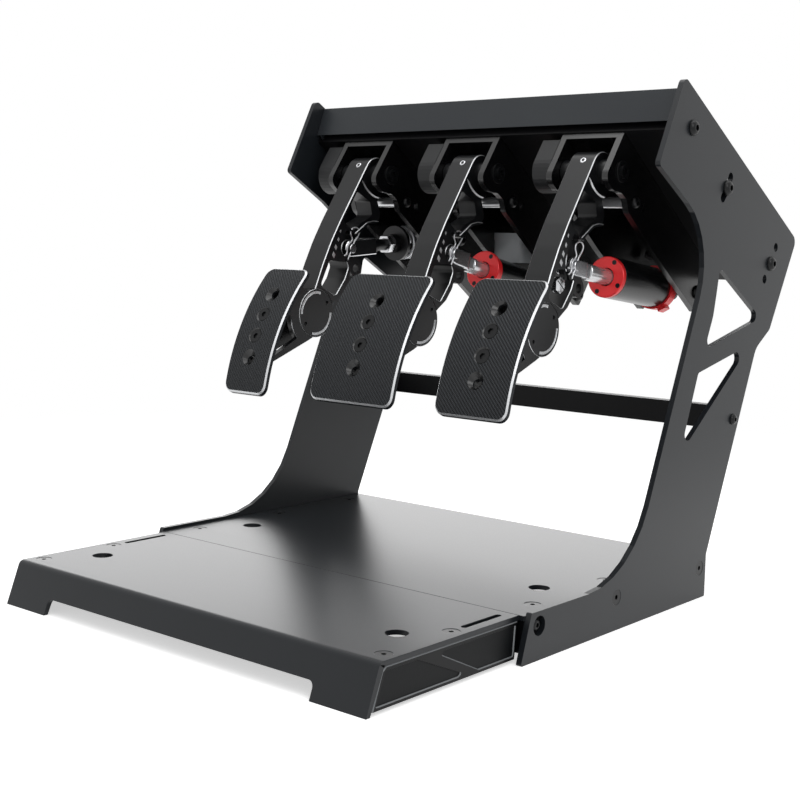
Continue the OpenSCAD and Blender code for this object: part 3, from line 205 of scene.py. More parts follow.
def knurledFace(name, tilt, plan):
    material, tree, shader, place = newMaterial(name)
    turned = addNode(tree, "ShaderNodeVectorRotate", {"Angle": -tilt}, {"Vector": place},
                     rotation_type="X_AXIS")
    parts = addNode(tree, "ShaderNodeSeparateXYZ", links={"Vector": turned.outputs["Vector"]})
    waves = []
    for lean, step in ((45, plan["pitch"]), (-45, plan["pitch"] / plan["crossed"])):
        turn = math.radians(lean)
        across = addNode(tree, "ShaderNodeMath", {1: math.cos(turn)}, {0: parts.outputs["X"]},
                         operation="MULTIPLY")
        along = addNode(tree, "ShaderNodeMath", {1: math.sin(turn)},
                        {0: parts.outputs["Y"], 2: across.outputs[0]}, operation="MULTIPLY_ADD")
        scaled = addNode(tree, "ShaderNodeMath", {1: 2 * math.pi / (step * mm)}, {0: along.outputs[0]},
                         operation="MULTIPLY")
        wave = addNode(tree, "ShaderNodeMath", links={0: scaled.outputs[0]}, operation="SINE")
        waves.append(wave.outputs[0])
    height = addNode(tree, "ShaderNodeMath", {1: plan["crossedHeight"]}, {0: waves[1], 2: waves[0]},
                     operation="MULTIPLY_ADD")
    # Only the front face is knurled, not the rim or the countersinks
    normal = addNode(tree, "ShaderNodeTexCoord").outputs["Normal"]
    facing = addNode(tree, "ShaderNodeVectorMath", {1: (0, -math.sin(tilt), math.cos(tilt))}, {0: normal},
                     operation="DOT_PRODUCT")
    mask = addNode(tree, "ShaderNodeMapRange", {"From Min": 0.8, "From Max": 0.9},
                   {"Value": facing.outputs["Value"]})
    shown = addNode(tree, "ShaderNodeMath", links={0: height.outputs[0], 1: mask.outputs["Result"]},
                    operation="MULTIPLY")
    bump = addNode(tree, "ShaderNodeBump", {"Strength": 1.0, "Distance": plan["height"] * mm},
                   {"Height": shown.outputs[0]})
    # The colour follows the height: painted shade in the valleys, painted highlight on the ridges
    top = 1 + plan["crossedHeight"]
    shadeByHeight = addNode(tree, "ShaderNodeMapRange", {"From Min": -top, "From Max": top},
                   {"Value": shown.outputs[0]})
    colour = addNode(tree, "ShaderNodeMix", {6: linear(plan["shadedValley"]), 7: linear(plan["litRidge"])},
                     {0: shadeByHeight.outputs["Result"]}, data_type="RGBA")
    tree.links.new(colour.outputs[2], shader.inputs["Base Color"])
    tree.links.new(bump.outputs["Normal"], shader.inputs["Normal"])
    shader.inputs["Roughness"].default_value = plan["roughness"]
    shader.inputs["Specular IOR Level"].default_value = plan["gloss"]
    return material


padFace = knurledFace("knurledBlackAluminium", padTilt, knurl)

# Each CAD node's finish
finishes = [
    (powderCoat, ["side_plate_left", "side_plate_right", "heel_plate", "heel_extension"]),
    (shadedPowderCoat, ["heel_rails", "extension_rails", "rear_cross_bar", "pedal_deck"]),
    (litPowderCoat, ["front_valance"]),
    (blackOxide, ["heel_screws", "frame_bolts", "bracket_cross_bolts", "bracket_screws", "pivot_bearings"]
     + [p + part for p in pedals for part in ("_pad_screws", "_pivot_shaft")]),
    (blackAbs, [p + "_sensor_housing" for p in pedals]),
    (trimAbs, ["extension_trims"]),
    (bracketBlack, [p + "_bracket" for p in pedals]),
    (greyAbs, ["control_box", "control_box_lid"]),
    (blackAnodised, [p + part for p in pedals for part in ("_arm", "_pad_bracket", "_clamp_disc")]
     + ["clutch_clevis", "clutch_rod"]),
    (padFace, [p + "_pad" for p in pedals]),
    (tubeBlack, [p + "_cylinder" for p in pedals]),
    (milledSteel, ["brake_clevis", "throttle_clevis", "clutch_spring_nut"]
     + [p + "_clevis_pin" for p in pedals]),
    (chromedSteel, ["brake_rod", "throttle_rod"]),
    (springSteel, ["clutch_spring"] + [p + "_r_clip" for p in pedals]),
    (redAnodised, ["brake_collars", "throttle_collars"]),
]
finishOf = {name: material for material, members in finishes for name in members}
for name, material in finishOf.items():
    nodes[name].data.materials.clear()
    nodes[name].data.materials.append(material)
print("finishes set, nodes left:", sorted(set(nodes) - set(finishOf)))


def addPiece(name, mesh, body):
    piece = bpy.data.objects.new(name, mesh)
    bpy.context.scene.collection.objects.link(piece)
    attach(piece, body)
    return piece


# How copies are cut, in millimetres and degrees: points nearer than weld become one, faces that turn less
# than flat become one, and only edges that fold more than fold are cut. Edges over sharp are shaded sharp,
# and corners over softenFrom are rounded by soften
cutting = {"weld": 0.002, "flat": 0.4, "fold": 28, "sharp": 30, "soften": 0.2, "softenFrom": 52}


# Corners are broken by a small round for the light to catch; a CAD node keeps its mesh, so it is a modifier
def softenEdges(piece, width, segments=2, angle=35):
    weld = piece.modifiers.new("weld", "WELD")
    weld.merge_threshold = cutting["weld"] * mm
    edge = piece.modifiers.new("edges", "BEVEL")
    edge.width = width * mm
    edge.segments = segments
    edge.limit_method = "ANGLE"
    edge.angle_limit = math.radians(angle)
    edge.use_clamp_overlap = True
    normals = piece.modifiers.new("normals", "WEIGHTED_NORMAL")
    normals.keep_sharp = True


def smoothMesh(work, mesh, sharp):
    work.to_mesh(mesh)
    work.free()
    for face in mesh.polygons:
        face.use_smooth = True
    if sharp:
        mesh.set_sharp_from_angle(angle=math.radians(sharp))


# A copy of a node whose picked edges are cut back by width to bare metal; pick gets the edge's two ends in
# millimetres and the normals of its two faces. Before that, drop takes points away and move shifts them.
# Faces that inlay picks take the material rest, or the bare metal where there is none
def cutToBare(name, cuts, metal=bareEdge, inlay=None, move=None, drop=None, rest=None):
    mesh = nodes[name].data.copy()
    mesh.name = name + "Cut"
    mesh.materials.append(metal)
    if rest:
        mesh.materials.append(rest)
    if "custom_normal" in mesh.attributes:
        mesh.attributes.remove(mesh.attributes["custom_normal"])
    work = bmesh.new()
    work.from_mesh(mesh)
    bmesh.ops.remove_doubles(work, verts=work.verts, dist=cutting["weld"] * mm)
    bmesh.ops.dissolve_limit(work, angle_limit=math.radians(cutting["flat"]), verts=work.verts,
                             edges=work.edges)
    if drop:
        bmesh.ops.delete(work, geom=[v for v in work.verts if drop(v.co / mm)], context="VERTS")
    if move:
        for vert in work.verts:
            vert.co += move(vert.co / mm) * mm
    for pick, width in cuts:
        chosen = []
        for edge in work.edges:
            if len(edge.link_faces) != 2 or any(f.material_index for f in edge.link_faces):
                continue
            if edge.calc_face_angle_signed(0) < math.radians(cutting["fold"]):
                continue
            ends = [v.co / mm for v in edge.verts]
            if pick(ends[0], ends[1], [f.normal for f in edge.link_faces]):
                chosen.append(edge)
        bmesh.ops.bevel(work, geom=chosen, offset=width * mm, offset_type="OFFSET", segments=1, profile=0.5,
                        affect="EDGES", clamp_overlap=False, material=1)
        print(name, "edges cut:", len(chosen))
    if inlay:
        for face in work.faces:
            if inlay(face.calc_center_median() / mm, face.normal):
                face.material_index = 2 if rest else 1
    smoothMesh(work, mesh, cutting["sharp"])
    piece = addPiece(name + "_cut", mesh, bodyOf[name])
    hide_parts(name)
    if not drop:
        softenEdges(piece, cutting["soften"], 1, cutting["softenFrom"])


# Whether both ends of an edge lie on one of the two planes at half from x
def onPlane(a, b, x, half):
    return abs(abs(a.x - x) - half) < 0.03 and abs(abs(b.x - x) - half) < 0.03


def discReach(p):
    return math.hypot(p.y - pivot.y - disc[0], p.z - pivot.z - disc[1])


# Of an edge's two faces, the normal of the one that runs across the pedal
def wallOf(normals):
    return min(normals, key=lambda n: abs(n.x))


# Arms: the front edges are cut wide; the rear edges of the pockets and windows, the arc below the hub and the
# round front of the lug are cut fine, because those are the ones that shine in the photograph. The limits are
# u, or u and v, on the drawing of the arm, and lean is the most that the wall beside an edge faces the rear
armCut = {"half": 13, "lugHalf": 4, "front": 0.72, "fine": 0.6, "hub": 1.15, "hubArc": (17.4, 17, 34),
          "arcFit": 0.5, "frontTo": 9, "hubTo": (22, 24), "lugTo": (40, 130), "fineFrom": 20, "discRoom": 26,
          "lean": {"front": -0.5, "hub": 0.1, "lug": -0.1, "fine": -0.15}}


def offHubArc(u, v):
    arcU, arcV, arcR = armCut["hubArc"]
    return abs(math.hypot(u - arcU, v - arcV) - arcR)


def armFrontEdge(a, b, normals, x):
    lean, most = wallOf(normals).dot(down), armCut["lean"]
    u, v = armPlace((a + b) / 2)
    onFront = u < armCut["frontTo"] and lean < most["front"]
    onHub = u < armCut["hubTo"][0] and v < armCut["hubTo"][1] and lean < most["hub"]
    return onPlane(a, b, x, armCut["half"]) and (onFront or onHub)


def armFineEdge(a, b, normals, x):
    lean, most = wallOf(normals).dot(down), armCut["lean"]
    middle = (a + b) / 2
    u, v = armPlace(middle)
    if onPlane(a, b, x, armCut["lugHalf"]):
        return lean < most["lug"] and u < armCut["lugTo"][0] and v < armCut["lugTo"][1]
    if not onPlane(a, b, x, armCut["half"]) or discReach(middle) < armCut["discRoom"]:
        return False
    return lean < most["fine"] and u > armCut["fineFrom"] and offHubArc(u, v) > armCut["arcFit"]


def armHubArc(a, b, x):
    u, v = armPlace((a + b) / 2)
    return onPlane(a, b, x, armCut["half"]) and offHubArc(u, v) < armCut["arcFit"]


# Pads: the rim is cut all round the front, and the copy's outline is moved out to the photograph's width and
# height by grow: left, right, top and bottom. The rim is nearer to a side than rimWide or farther up or down
# than rimTall, and what moves is nearer than cornerWide or farther than cornerTall. The countersinks' faces
# lie within sink and lean by sinkLean
padCut = {"width": 1.4, "fit": 0.3, "rimWide": 9.5, "rimTall": 51, "cornerWide": 10, "cornerTall": 50,
          "sink": (11, 48), "sinkLean": (0.3, 0.92),
          "grow": {"clutch": (2.6, 5.8, 4.1, 6.0), "brake": (0, 3.9, 2.6, 3.2),
                   "throttle": (5.0, 4.1, 3.7, 2.8)}}
padOut = Vector((0, -math.sin(padTilt), math.cos(padTilt)))
padUp = Vector((0, math.cos(padTilt), math.sin(padTilt)))


def fromPadMiddle(point):
    return Vector((0, point.y - pivot.y - padMiddle[0], point.z - pivot.z - padMiddle[1]))


# A point's distance from the middle of the pad's curve, and its height on the pad
def onPad(point):
    arm = fromPadMiddle(point)
    return arm.length, arm.dot(padUp)


def padEdge(a, b, x, half):
    (reachA, upA), (reachB, upB) = onPad(a), onPad(b)
    if abs(reachA - padRadius) > padCut["fit"] or abs(reachB - padRadius) > padCut["fit"]:
        return False
    return abs((a.x + b.x) / 2 - x) > half - padCut["rimWide"] or abs(upA + upB) / 2 > padCut["rimTall"]


def inCountersink(point, normal, x):
    outward = abs(fromPadMiddle(point).normalized().dot(normal))
    wide, tall = padCut["sink"]
    return abs(point.x - x) < wide and abs(onPad(point)[1]) < tall \
        and padCut["sinkLean"][0] < outward < padCut["sinkLean"][1]


def padShift(point, grow, x, half):
    reach, up = onPad(point)
    side = point.x - x
    shift = Vector((0, 0, 0))
    if abs(side) > half - padCut["cornerWide"]:
        shift.x = grow[1] if side > 0 else -grow[0]
    if abs(up) > padCut["cornerTall"]:
        step = grow[2] if up > 0 else -grow[3]
        bend = math.sqrt(reach ** 2 - (up + step) ** 2) - math.sqrt(reach ** 2 - up ** 2)
        shift += padUp * step + padOut * bend
    return shift


# Clamp discs get a fine ring round the head and bare metal in the two curved marks, and the pad brackets a
# cut lip round the disc
discCut = {"head": 23.8, "ring": 0.4, "marks": (12.0, 12.95), "marksFrom": 12, "lip": 36, "lipFit": 0.6,
           "lipWidth": 0.6}


def discEdge(a, b, x):
    return onPlane(a, b, x, armCut["half"]) and min(discReach(a), discReach(b)) > discCut["head"]


def discMark(point, x):
    shallow, deep = discCut["marks"]
    return shallow < abs(point.x - x) < deep and discReach(point) > discCut["marksFrom"]


def lipEdge(a, b, x):
    off = max(abs(discReach(p) - discCut["lip"]) for p in (a, b))
    return onPlane(a, b, x, armCut["half"]) and off < discCut["lipFit"]


for pedal, plan in pedals.items():
    x = plan["x"]
    half = plan["pad"] / 2
    cutToBare(pedal + "_arm", [
        (lambda a, b, n: armFrontEdge(a, b, n, x), armCut["front"]),
        (lambda a, b, n: armHubArc(a, b, x), armCut["hub"]),
        (lambda a, b, n: armFineEdge(a, b, n, x), armCut["fine"])])
    cutToBare(pedal + "_pad", [(lambda a, b, n: padEdge(a, b, x, half), padCut["width"])],
              move=lambda p: padShift(p, padCut["grow"][pedal], x, half),
              inlay=lambda p, n: inCountersink(p, n, x), rest=sinkBlack)
    cutToBare(pedal + "_clamp_disc", [(lambda a, b, n: discEdge(a, b, x), discCut["ring"])],
              inlay=lambda p, n: discMark(p, x))
    cutToBare(pedal + "_pad_bracket", [(lambda a, b, n: lipEdge(a, b, x), discCut["lipWidth"])])

# The clutch's clevis is black with all its edges cut bare
clevisCut = 0.9
cutToBare("clutch_clevis", [(lambda a, b, n: True, clevisCut)], milledSteel)

# Stop rods are polished between the cheeks; the bolts through them stay black
stopRod = {"u": 53, "v": 37, "radius": 5.6, "half": 24}


def onStopRod(point, normal):
    u, v = armPlace(point)
    off = min(abs(point.x - plan["x"]) for plan in pedals.values())
    return math.hypot(u - stopRod["u"], v - stopRod["v"]) < stopRod["radius"] and abs(normal.x) < 0.5 \
        and off < stopRod["half"]


cutToBare("bracket_cross_bolts", [], chromedSteel, inlay=onStopRod)

# The deck's slots end under the brackets, as the photograph shows none beside them
deckSlots = {"u": (48, 178), "near": 5, "thick": 6, "ends": (30, 38), "shift": 13}


def slotShift(point):
    u, v = armPlace(point)
    inner, outer = deckSlots["ends"]
    for plan in pedals.values():
        side = point.x - plan["x"]
        nearSlot = min(abs(u - row) for row in deckSlots["u"]) < deckSlots["near"]
        if inner < abs(side) < outer and abs(v) < deckSlots["thick"] and nearSlot:
            return Vector((-math.copysign(deckSlots["shift"], side), 0, 0))
    return Vector((0, 0, 0))


cutToBare("pedal_deck", [], move=slotShift)

# Trims: a pale painted highlight cut along the ridges on the lower and rear sides of the recesses, a grid on
# their floors
trims = {"face": 210, "floor": 208.8, "litRidge": 0.8, "facesUp": 0.2, "facesFront": 0.5}


def trimHighlightEdge(a, b, normals):
    wall = wallOf(normals)
    return onPlane(a, b, 0, trims["face"]) and (wall.z > trims["facesUp"] or wall.y < -trims["facesFront"])


cutToBare("extension_trims", [(trimHighlightEdge, trims["litRidge"])], trimPaintedHighlight, rest=trimGrid,
          inlay=lambda p, n: abs(n.x) > 0.9 and abs(abs(p.x) - trims["floor"]) < 0.1)
print("bare edges cut")


# Faces from loop to loop, with an end on the first and last, or round to the first where it is bored
def joinLoops(work, loops, bored=False):
    for first, second in zip(loops, loops[1:] + (loops[:1] if bored else [])):
        count = len(first)
        for k in range(count):
            work.faces.new((first[k], first[(k + 1) % count], second[(k + 1) % count], second[k]))
    if not bored:
        work.faces.new(list(reversed(loops[0])))
        work.faces.new(loops[-1])


def pieceFrom(work, name, material, body, sharp=None, smooth=True):
    mesh = bpy.data.meshes.new(name)
    bmesh.ops.recalc_face_normals(work, faces=work.faces)
    if smooth:
        smoothMesh(work, mesh, sharp)
    else:
        work.to_mesh(mesh)
        work.free()
    mesh.materials.append(material)
    return addPiece(name, mesh, body)


# A turned piece from rings of (radius, height, shape), where the shape is round, a hexagon, or a number: half
# the width between two milled flats. A bored piece closes on itself instead of ending in faces
def turnedPiece(name, rings, turn, material, body, segments=48, bored=False):
    work = bmesh.new()
    loops = []
    for radius, height, shape in rings:
        loop = []
        for k in range(segments):
            angle = 2 * math.pi * k / segments
            r = radius
            if shape == "hex":
                r = radius / math.cos((angle % (math.pi / 3)) - math.pi / 6)
            across = r * math.cos(angle)
            if isinstance(shape, float):
                across = max(-shape, min(shape, across))
            loop.append(work.verts.new(turn @ (Vector((across, r * math.sin(angle), height)) * mm)))
        loops.append(loop)
    joinLoops(work, loops, bored)
    return pieceFrom(work, name, material, body, 30)


# A plate cut to an outline of (height, along) points, from one width to another
def cutPlate(name, outline, widths, turn, material, body, edge):
    work = bmesh.new()
    joinLoops(work, [[work.verts.new(turn @ (Vector((width, h, s)) * mm)) for h, s in outline]
                     for width in widths])
    softenEdges(pieceFrom(work, name, material, body, 25), edge, 3)


# A wire swept along points, with ends drawn in to endShare of its radius
def sweptWire(name, points, radius, material, body, sides=12, endShare=0.55):
    work = bmesh.new()
    rings = []
    last = len(points) - 1
    normal = (points[1] - points[0]).normalized().orthogonal().normalized()
    turns = [2 * math.pi * k / sides for k in range(sides)]
    for i, point in enumerate(points):
        along = (points[min(i + 1, last)] - points[max(i - 1, 0)]).normalized()
        normal = (normal - along * normal.dot(along)).normalized()
        side = along.cross(normal)
        reach = radius * (endShare if i in (0, last) else 1)
        rings.append([work.verts.new((point + (normal * math.cos(turn) + side * math.sin(turn)) * reach) * mm)
                      for turn in turns])
    joinLoops(work, rings)
    return pieceFrom(work, name, material, body)


# Smooth curve through the given points
def smoothPath(points, steps):
    path = []
    for i in range(len(points) - 1):
        p0, p1, p2, p3 = (points[max(0, min(len(points) - 1, i + k))] for k in (-1, 0, 1, 2))
        for k in range(steps):
            t = k / steps
            path.append(0.5 * ((2 * p1) + (p2 - p0) * t + (2 * p0 - 5 * p1 + 4 * p2 - p3) * t * t
                               + (3 * p1 - p0 - 3 * p2 + p3) * t * t * t))
    return path + [points[-1]]


# A turned piece's frame where its axis runs to the right, at a place in metres
def crosswise(place):
    return Matrix.Translation(place) @ Matrix.Rotation(math.radians(90), 4, "Y")


# Set screw in the front of each hub, with its hexagon socket
setScrew = {"radius": 2.9, "socket": 1.5, "depth": 2.0, "proud": 0.5, "sunk": 1.5, "side": 1, "u": -1.0,
            "v": 30.5}
for pedal, plan in pedals.items():
    s = setScrew
    seat = onArm(plan["x"] + s["side"], s["u"], s["v"])
    turn = Matrix.Translation(seat) @ (-down).to_track_quat("Z", "Y").to_matrix().to_4x4()
    turnedPiece(pedal + "_set_screw", [
        (s["radius"], -s["sunk"], "round"), (s["radius"], s["proud"] - 0.4, "round"),
        (s["radius"] - 0.5, s["proud"], "round"), (s["socket"] + 0.35, s["proud"], "round"),
        (s["socket"], s["proud"] - 0.2, "hex"), (s["socket"], s["proud"] - s["depth"], "hex")],
        turn, milledSteel, pedal + "_pedal")

# Scale marks on each arm's right face: bare metal slips in line with the arm's front edge, larger downwards,
# each with its place from the pivot, width and height
scaleMarks = {"proud": 0.12, "sunk": 0.3, "edge": 0.08, "lean": away * 0.985 + down * 0.12,
              "corners": ((-1, -1), (1, -0.6), (1, 1), (-1, 0.6)),
              "places": [(-53.3, -57.9, 1.8, 3.2), (-56.3, -66.2, 2.6, 3.9), (-60.0, -73.9, 3.4, 4.6),
                         (-62.9, -81.5, 4.2, 5.2)]}
for pedal, plan in pedals.items():
    work = bmesh.new()
    lean = scaleMarks["lean"].normalized()
    for dy, dz, wide, tall in scaleMarks["places"]:
        middle = atPivot(plan["x"] + armCut["half"], dy, dz)
        corners = [middle + (down * wide * i / 2 + lean * tall * j / 2) * mm
                   for i, j in scaleMarks["corners"]]
        joinLoops(work, [[work.verts.new(c + toRight * depth * mm) for c in corners]
                         for depth in (-scaleMarks["sunk"], scaleMarks["proud"])])
    marks = pieceFrom(work, pedal + "_scale_marks", bareEdge, pedal + "_pedal", smooth=False)
    softenEdges(marks, scaleMarks["edge"], 1)

# Slotted screw that shows in the lower window of the throttle's arm
stopScrew = {"across": 6.6, "side": 5.5, "length": 6.5, "dy": -60.5, "dz": -101.2, "slot": 1.1,
             "slotTurn": 52, "washer": 1.2}
s = stopScrew
turn = crosswise(atPivot(pedals["throttle"]["x"] + s["side"], s["dy"], s["dz"]))
turnedPiece("throttle_stop_screw", [
    (s["across"] + 0.4, 0, "round"), (s["across"] + 0.4, s["washer"], "round"),
    (s["across"], s["washer"] + 0.1, "hex"), (s["across"], s["length"] - 0.7, "hex"),
    (s["across"] - 0.7, s["length"], "round")], turn, milledSteel, "throttle_pedal")
# The screw's slot is a thin black strip laid on its end: painted shade where the slot is
work = bmesh.new()
bmesh.ops.create_cube(work, size=1, matrix=turn @ Matrix.Translation((0, 0, (s["length"] + 0.02) * mm))
                      @ Matrix.Rotation(math.radians(s["slotTurn"]), 4, "Z")
                      @ Matrix.Diagonal((2 * s["across"] * mm, s["slot"] * mm, 0.1 * mm, 1)))
pieceFrom(work, "throttle_stop_screw_slot_shade", blackOxide, "throttle_pedal", smooth=False)


# Each linkage runs from its pin to the rear bolt
def pinOf(pedal):
    return Vector((pedals[pedal]["x"], pivot.y + pedals[pedal]["pin"][0], pivot.z + pedals[pedal]["pin"][1]))


def rodOf(pedal):
    pin, rear = pedals[pedal]["pin"], pedals[pedal]["rear"]
    return Vector((0, rear[0] - pin[0], rear[1] - pin[1]))


# The frame of a linkage: across it, down, and along its rod from the pin
def onRod(pedal, drop=0.0):
    line = rodOf(pedal).normalized()
    below = line.cross(toRight)
    place = Matrix((toRight, below, line)).transposed().to_4x4()
    return Matrix.Translation((pinOf(pedal) + below * drop) * mm) @ place


# R-clips and pins: the straight leg goes through the pin, the other bows round it. The clutch's is wider
clip = {"wire": 0.75, "out": 9.7, "clutchOut": 11.2, "path": [
    (-7.4, -11.6), (-5.1, -7.6), (-3.3, -4.6), (0, 0.6), (1.8, 6.0), (4.6, 9.3), (8.0, 12.9), (9.5, 15.8),
    (9.3, 18.2), (7.4, 20.4), (4.6, 21.4), (1.6, 21.2), (-1.4, 19.8), (-3.2, 17.4), (-3.3, 14.8),
    (-2.0, 12.2), (-0.9, 9.6), (-2.2, 7.2), (-5.4, 4.9), (-7.6, 2.4), (-8.3, -0.8), (-8.4, -3.8),
    (-10.0, -6.2), (-13.0, -7.4)]}
peg = {"shank": 3.9, "head": 5.8, "headTall": 2.4, "end": 4.7, "endTall": 1.4}
for pedal in pedals:
    body = pedal + "_push_rod"
    out = clip["clutchOut" if pedal == "clutch" else "out"]
    points = [pinOf(pedal) + Vector((out, y, z)) for y, z in clip["path"]]
    wire = sweptWire(pedal + "_clip_wire", smoothPath(points, 3), clip["wire"], springSteel, body, 10)
    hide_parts(pedal + "_r_clip")
    foot = -out - peg["headTall"]
    shaft = turnedPiece(pedal + "_peg", [
        (peg["head"] - 0.4, foot + 0.3, "round"), (peg["head"], foot + 0.7, "round"),
        (peg["head"], 0.5 - out, "round"), (peg["shank"], 0.55 - out, "round"),
        (peg["shank"], out - 1.05, "round"), (peg["end"], out - 1, "round"),
        (peg["end"], out + peg["endTall"] - 0.5, "round"), (peg["end"] - 0.5, out + peg["endTall"], "round")],
        crosswise(pinOf(pedal) * mm), milledSteel, body)
    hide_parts(pedal + "_clevis_pin")

# Brake and throttle: milled fork, chromed barrel with two wrench flats, and the red collar that it slides
# into. Lengths run from the pin; the barrel hangs a little below the line through the pins
linkages = {
    "brake": {"fork": 25, "flats": 35.5, "flange": 58.5, "tube": 16, "drop": 3.0},
    "throttle": {"fork": 20.5, "flats": 30.5, "flange": 66.1, "tube": 19.5, "drop": 1.5},
}
barrel = {"radius": 7.7, "flatHalf": 6.2, "start": 28.4, "inTube": 40}
fork = {"slot": 4.3, "half": 8.5, "nose": 8.2, "noseTurn": 75, "noseEnd": 5, "up": 6.4, "below": 8.0,
        "edge": 1.1, "root": (6.5, -6), "rootEdge": 0.3}
collar = {"radius": 19.4, "bore": 8.4, "thick": 5, "sleeve": 5, "sleeveOver": 1.5, "sleeveIn": 3}
collarScrew = {"turns": (-61, 29, 119, 209), "ring": 15.8, "head": 2.3, "socket": 1.2, "proud": 0.3}
for pedal, plan in linkages.items():
    turn = onRod(pedal)
    low = onRod(pedal, plan["drop"])
    body = pedal + "_push_rod"
    noseTurns = [math.radians(a) for a in range(-fork["noseTurn"], fork["noseTurn"] + 1, 15)]
    nose = [(fork["nose"] * math.sin(a), -fork["nose"] * math.cos(a)) for a in noseTurns]
    cheek = nose + [(fork["below"] + 0.4 * plan["drop"], fork["noseEnd"]),
                    (fork["below"] + 0.5 * plan["drop"], plan["fork"]),
                    (-fork["up"], plan["fork"]), (-fork["up"], fork["noseEnd"])]
    rootLow, rootHigh = fork["root"]
    rootFrom, rootTo = fork["noseEnd"] + 1, barrel["start"] + 0.6
    tongue = [(fork["below"] + 0.2 * plan["drop"], rootFrom), (rootLow + plan["drop"], rootTo),
              (rootHigh + plan["drop"], rootTo), (-fork["up"] + 0.5, rootFrom)]
    for side, name in ((1, "right"), (-1, "left")):
        cutPlate(f"{pedal}_fork_{name}", cheek, (side * fork["slot"], side * fork["half"]), turn, milledSteel,
                 body, fork["edge"])
        cutPlate(f"{pedal}_fork_root_{name}", tongue, (side * fork["slot"], side * barrel["flatHalf"]), turn,
                 milledSteel, body, fork["rootEdge"])
    r, flat = barrel["radius"], barrel["flatHalf"]
    shank = turnedPiece(pedal + "_barrel", [
        (r - 0.5, barrel["start"], flat), (r - 0.05, barrel["start"] + 0.5, flat),
        (r - 0.05, plan["flats"], flat), (r - 0.6, plan["flats"] + 0.02, "round"),
        (r, plan["flats"] + 0.6, "round"), (r, plan["flange"] + barrel["inTube"], "round")],
        low, chromedSteel, body, 64)
    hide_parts(pedal + "_rod", pedal + "_clevis")
    face, back = plan["flange"], plan["flange"] + collar["thick"]
    sleeve = min(plan["tube"] + collar["sleeveOver"], collar["radius"] - 1)
    inside = plan["tube"] - collar["sleeveIn"]
    turnedPiece(pedal + "_collar", [
        (collar["bore"] + 0.4, face, "round"), (collar["radius"] - 0.7, face, "round"),
        (collar["radius"], face + 0.7, "round"), (collar["radius"], back - 0.5, "round"),
        (collar["radius"] - 0.5, back, "round"), (sleeve, back + 0.1, "round"),
        (sleeve, back + collar["sleeve"], "round"), (inside, back + collar["sleeve"], "round"),
        (inside, back, "round"), (collar["bore"], back, "round"), (collar["bore"], face + 0.4, "round")],
        low, redAnodised, pedal + "_damper", 72, True)
    s = collarScrew
    top = face - s["proud"]
    for k, angle in enumerate(s["turns"]):
        reach = Matrix.Rotation(math.radians(angle), 4, "Z") @ Matrix.Translation((s["ring"] * mm, 0, 0))
        turnedPiece(f"{pedal}_collar_screw_{k}", [
            (s["head"], face + 1, "round"), (s["head"], top + 0.15, "round"), (s["head"] - 0.2, top, "round"),
            (s["socket"] + 0.1, top, "round"), (s["socket"], top + 0.25, "hex")],
            low @ reach, blackOxide, pedal + "_damper", 24)

# The tubes' copies follow the barrels: their front is widened to the barrel and hangs lower, and their rear
# stays. The collars' copies lose their front rings to the ones above
tubeCopy = {"rear": 25, "front": 20, "bore": 6.6, "widen": 2.2}


# Across, below and along a rod, in millimetres from the pin
def byRod(pedal, point):
    return onRod(pedal).inverted() @ (point * mm) / mm


def tubeShift(pedal, point):
    plan = linkages[pedal]
    place = byRod(pedal, point)
    hold = rodOf(pedal).length - tubeCopy["rear"]
    share = max(0, min(1, (hold - place.z) / (hold - plan["flange"])))
    shift = Vector((0, plan["drop"] * share, 0))
    side = Vector((place.x, place.y, 0))
    if side.length < tubeCopy["bore"] and place.z < plan["flange"] + tubeCopy["front"]:
        shift += side.normalized() * tubeCopy["widen"]
    return onRod(pedal).to_3x3() @ shift


for pedal, plan in linkages.items():
    cutToBare(pedal + "_cylinder", [], move=lambda p: tubeShift(pedal, p))
    cutToBare(pedal + "_collars", [], drop=lambda p: byRod(pedal, p).z < plan["flange"] + tubeCopy["front"])

# Clutch spring: round wire in even coils between the seats
spring = {"start": 85.4, "end": 127.6, "coil": 15.9, "wire": 2.1, "turns": 6, "perTurn": 28, "anchor": 130,
          "keep": 0.61}
pin = pinOf("clutch")
rodLine = rodOf("clutch").normalized()
upLine = toRight.cross(rodLine)
steps = spring["turns"] * spring["perTurn"]
points = []
for k in range(steps + 1):
    angle = 2 * math.pi * k / spring["perTurn"]
    rise = spring["start"] + (spring["end"] - spring["start"]) * k / steps
    outward = toRight * math.cos(angle) + upLine * math.sin(angle)
    points.append(pin + rodLine * rise + outward * spring["coil"])
coil = sweptWire("clutch_coil", points, spring["wire"], springSteel, "clutch_damper")
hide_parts("clutch_spring")
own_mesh(coil)
print("small pieces made")

# The CAD nodes that stay in view get broken corners
replaced = {"clutch_clevis", "clutch_spring", "bracket_cross_bolts", "extension_trims", "pedal_deck"}
for part in ("_arm", "_pad", "_clamp_disc", "_pad_bracket", "_r_clip", "_clevis_pin"):
    replaced |= {p + part for p in pedals}
for part in ("_clevis", "_rod", "_cylinder", "_collars"):
    replaced |= {p + part for p in linkages}
corners = {"usual": 0.35, "side_plate_left": 0.5, "side_plate_right": 0.5}
for name in nodes:
    if name not in replaced:
        softenEdges(nodes[name], corners.get(name, corners["usual"]))

# Camera and studio: the camera's place and aim were solved from the photograph's straight edges
cameraPlan = {"place": (0.80158, -0.991128, 0.32644), "azimuth": 39.91, "elevation": 6.13, "roll": 1.30,
              "lens": 61.50, "sensor": 36, "shift": (-0.00075, -0.019), "farthest": 30}


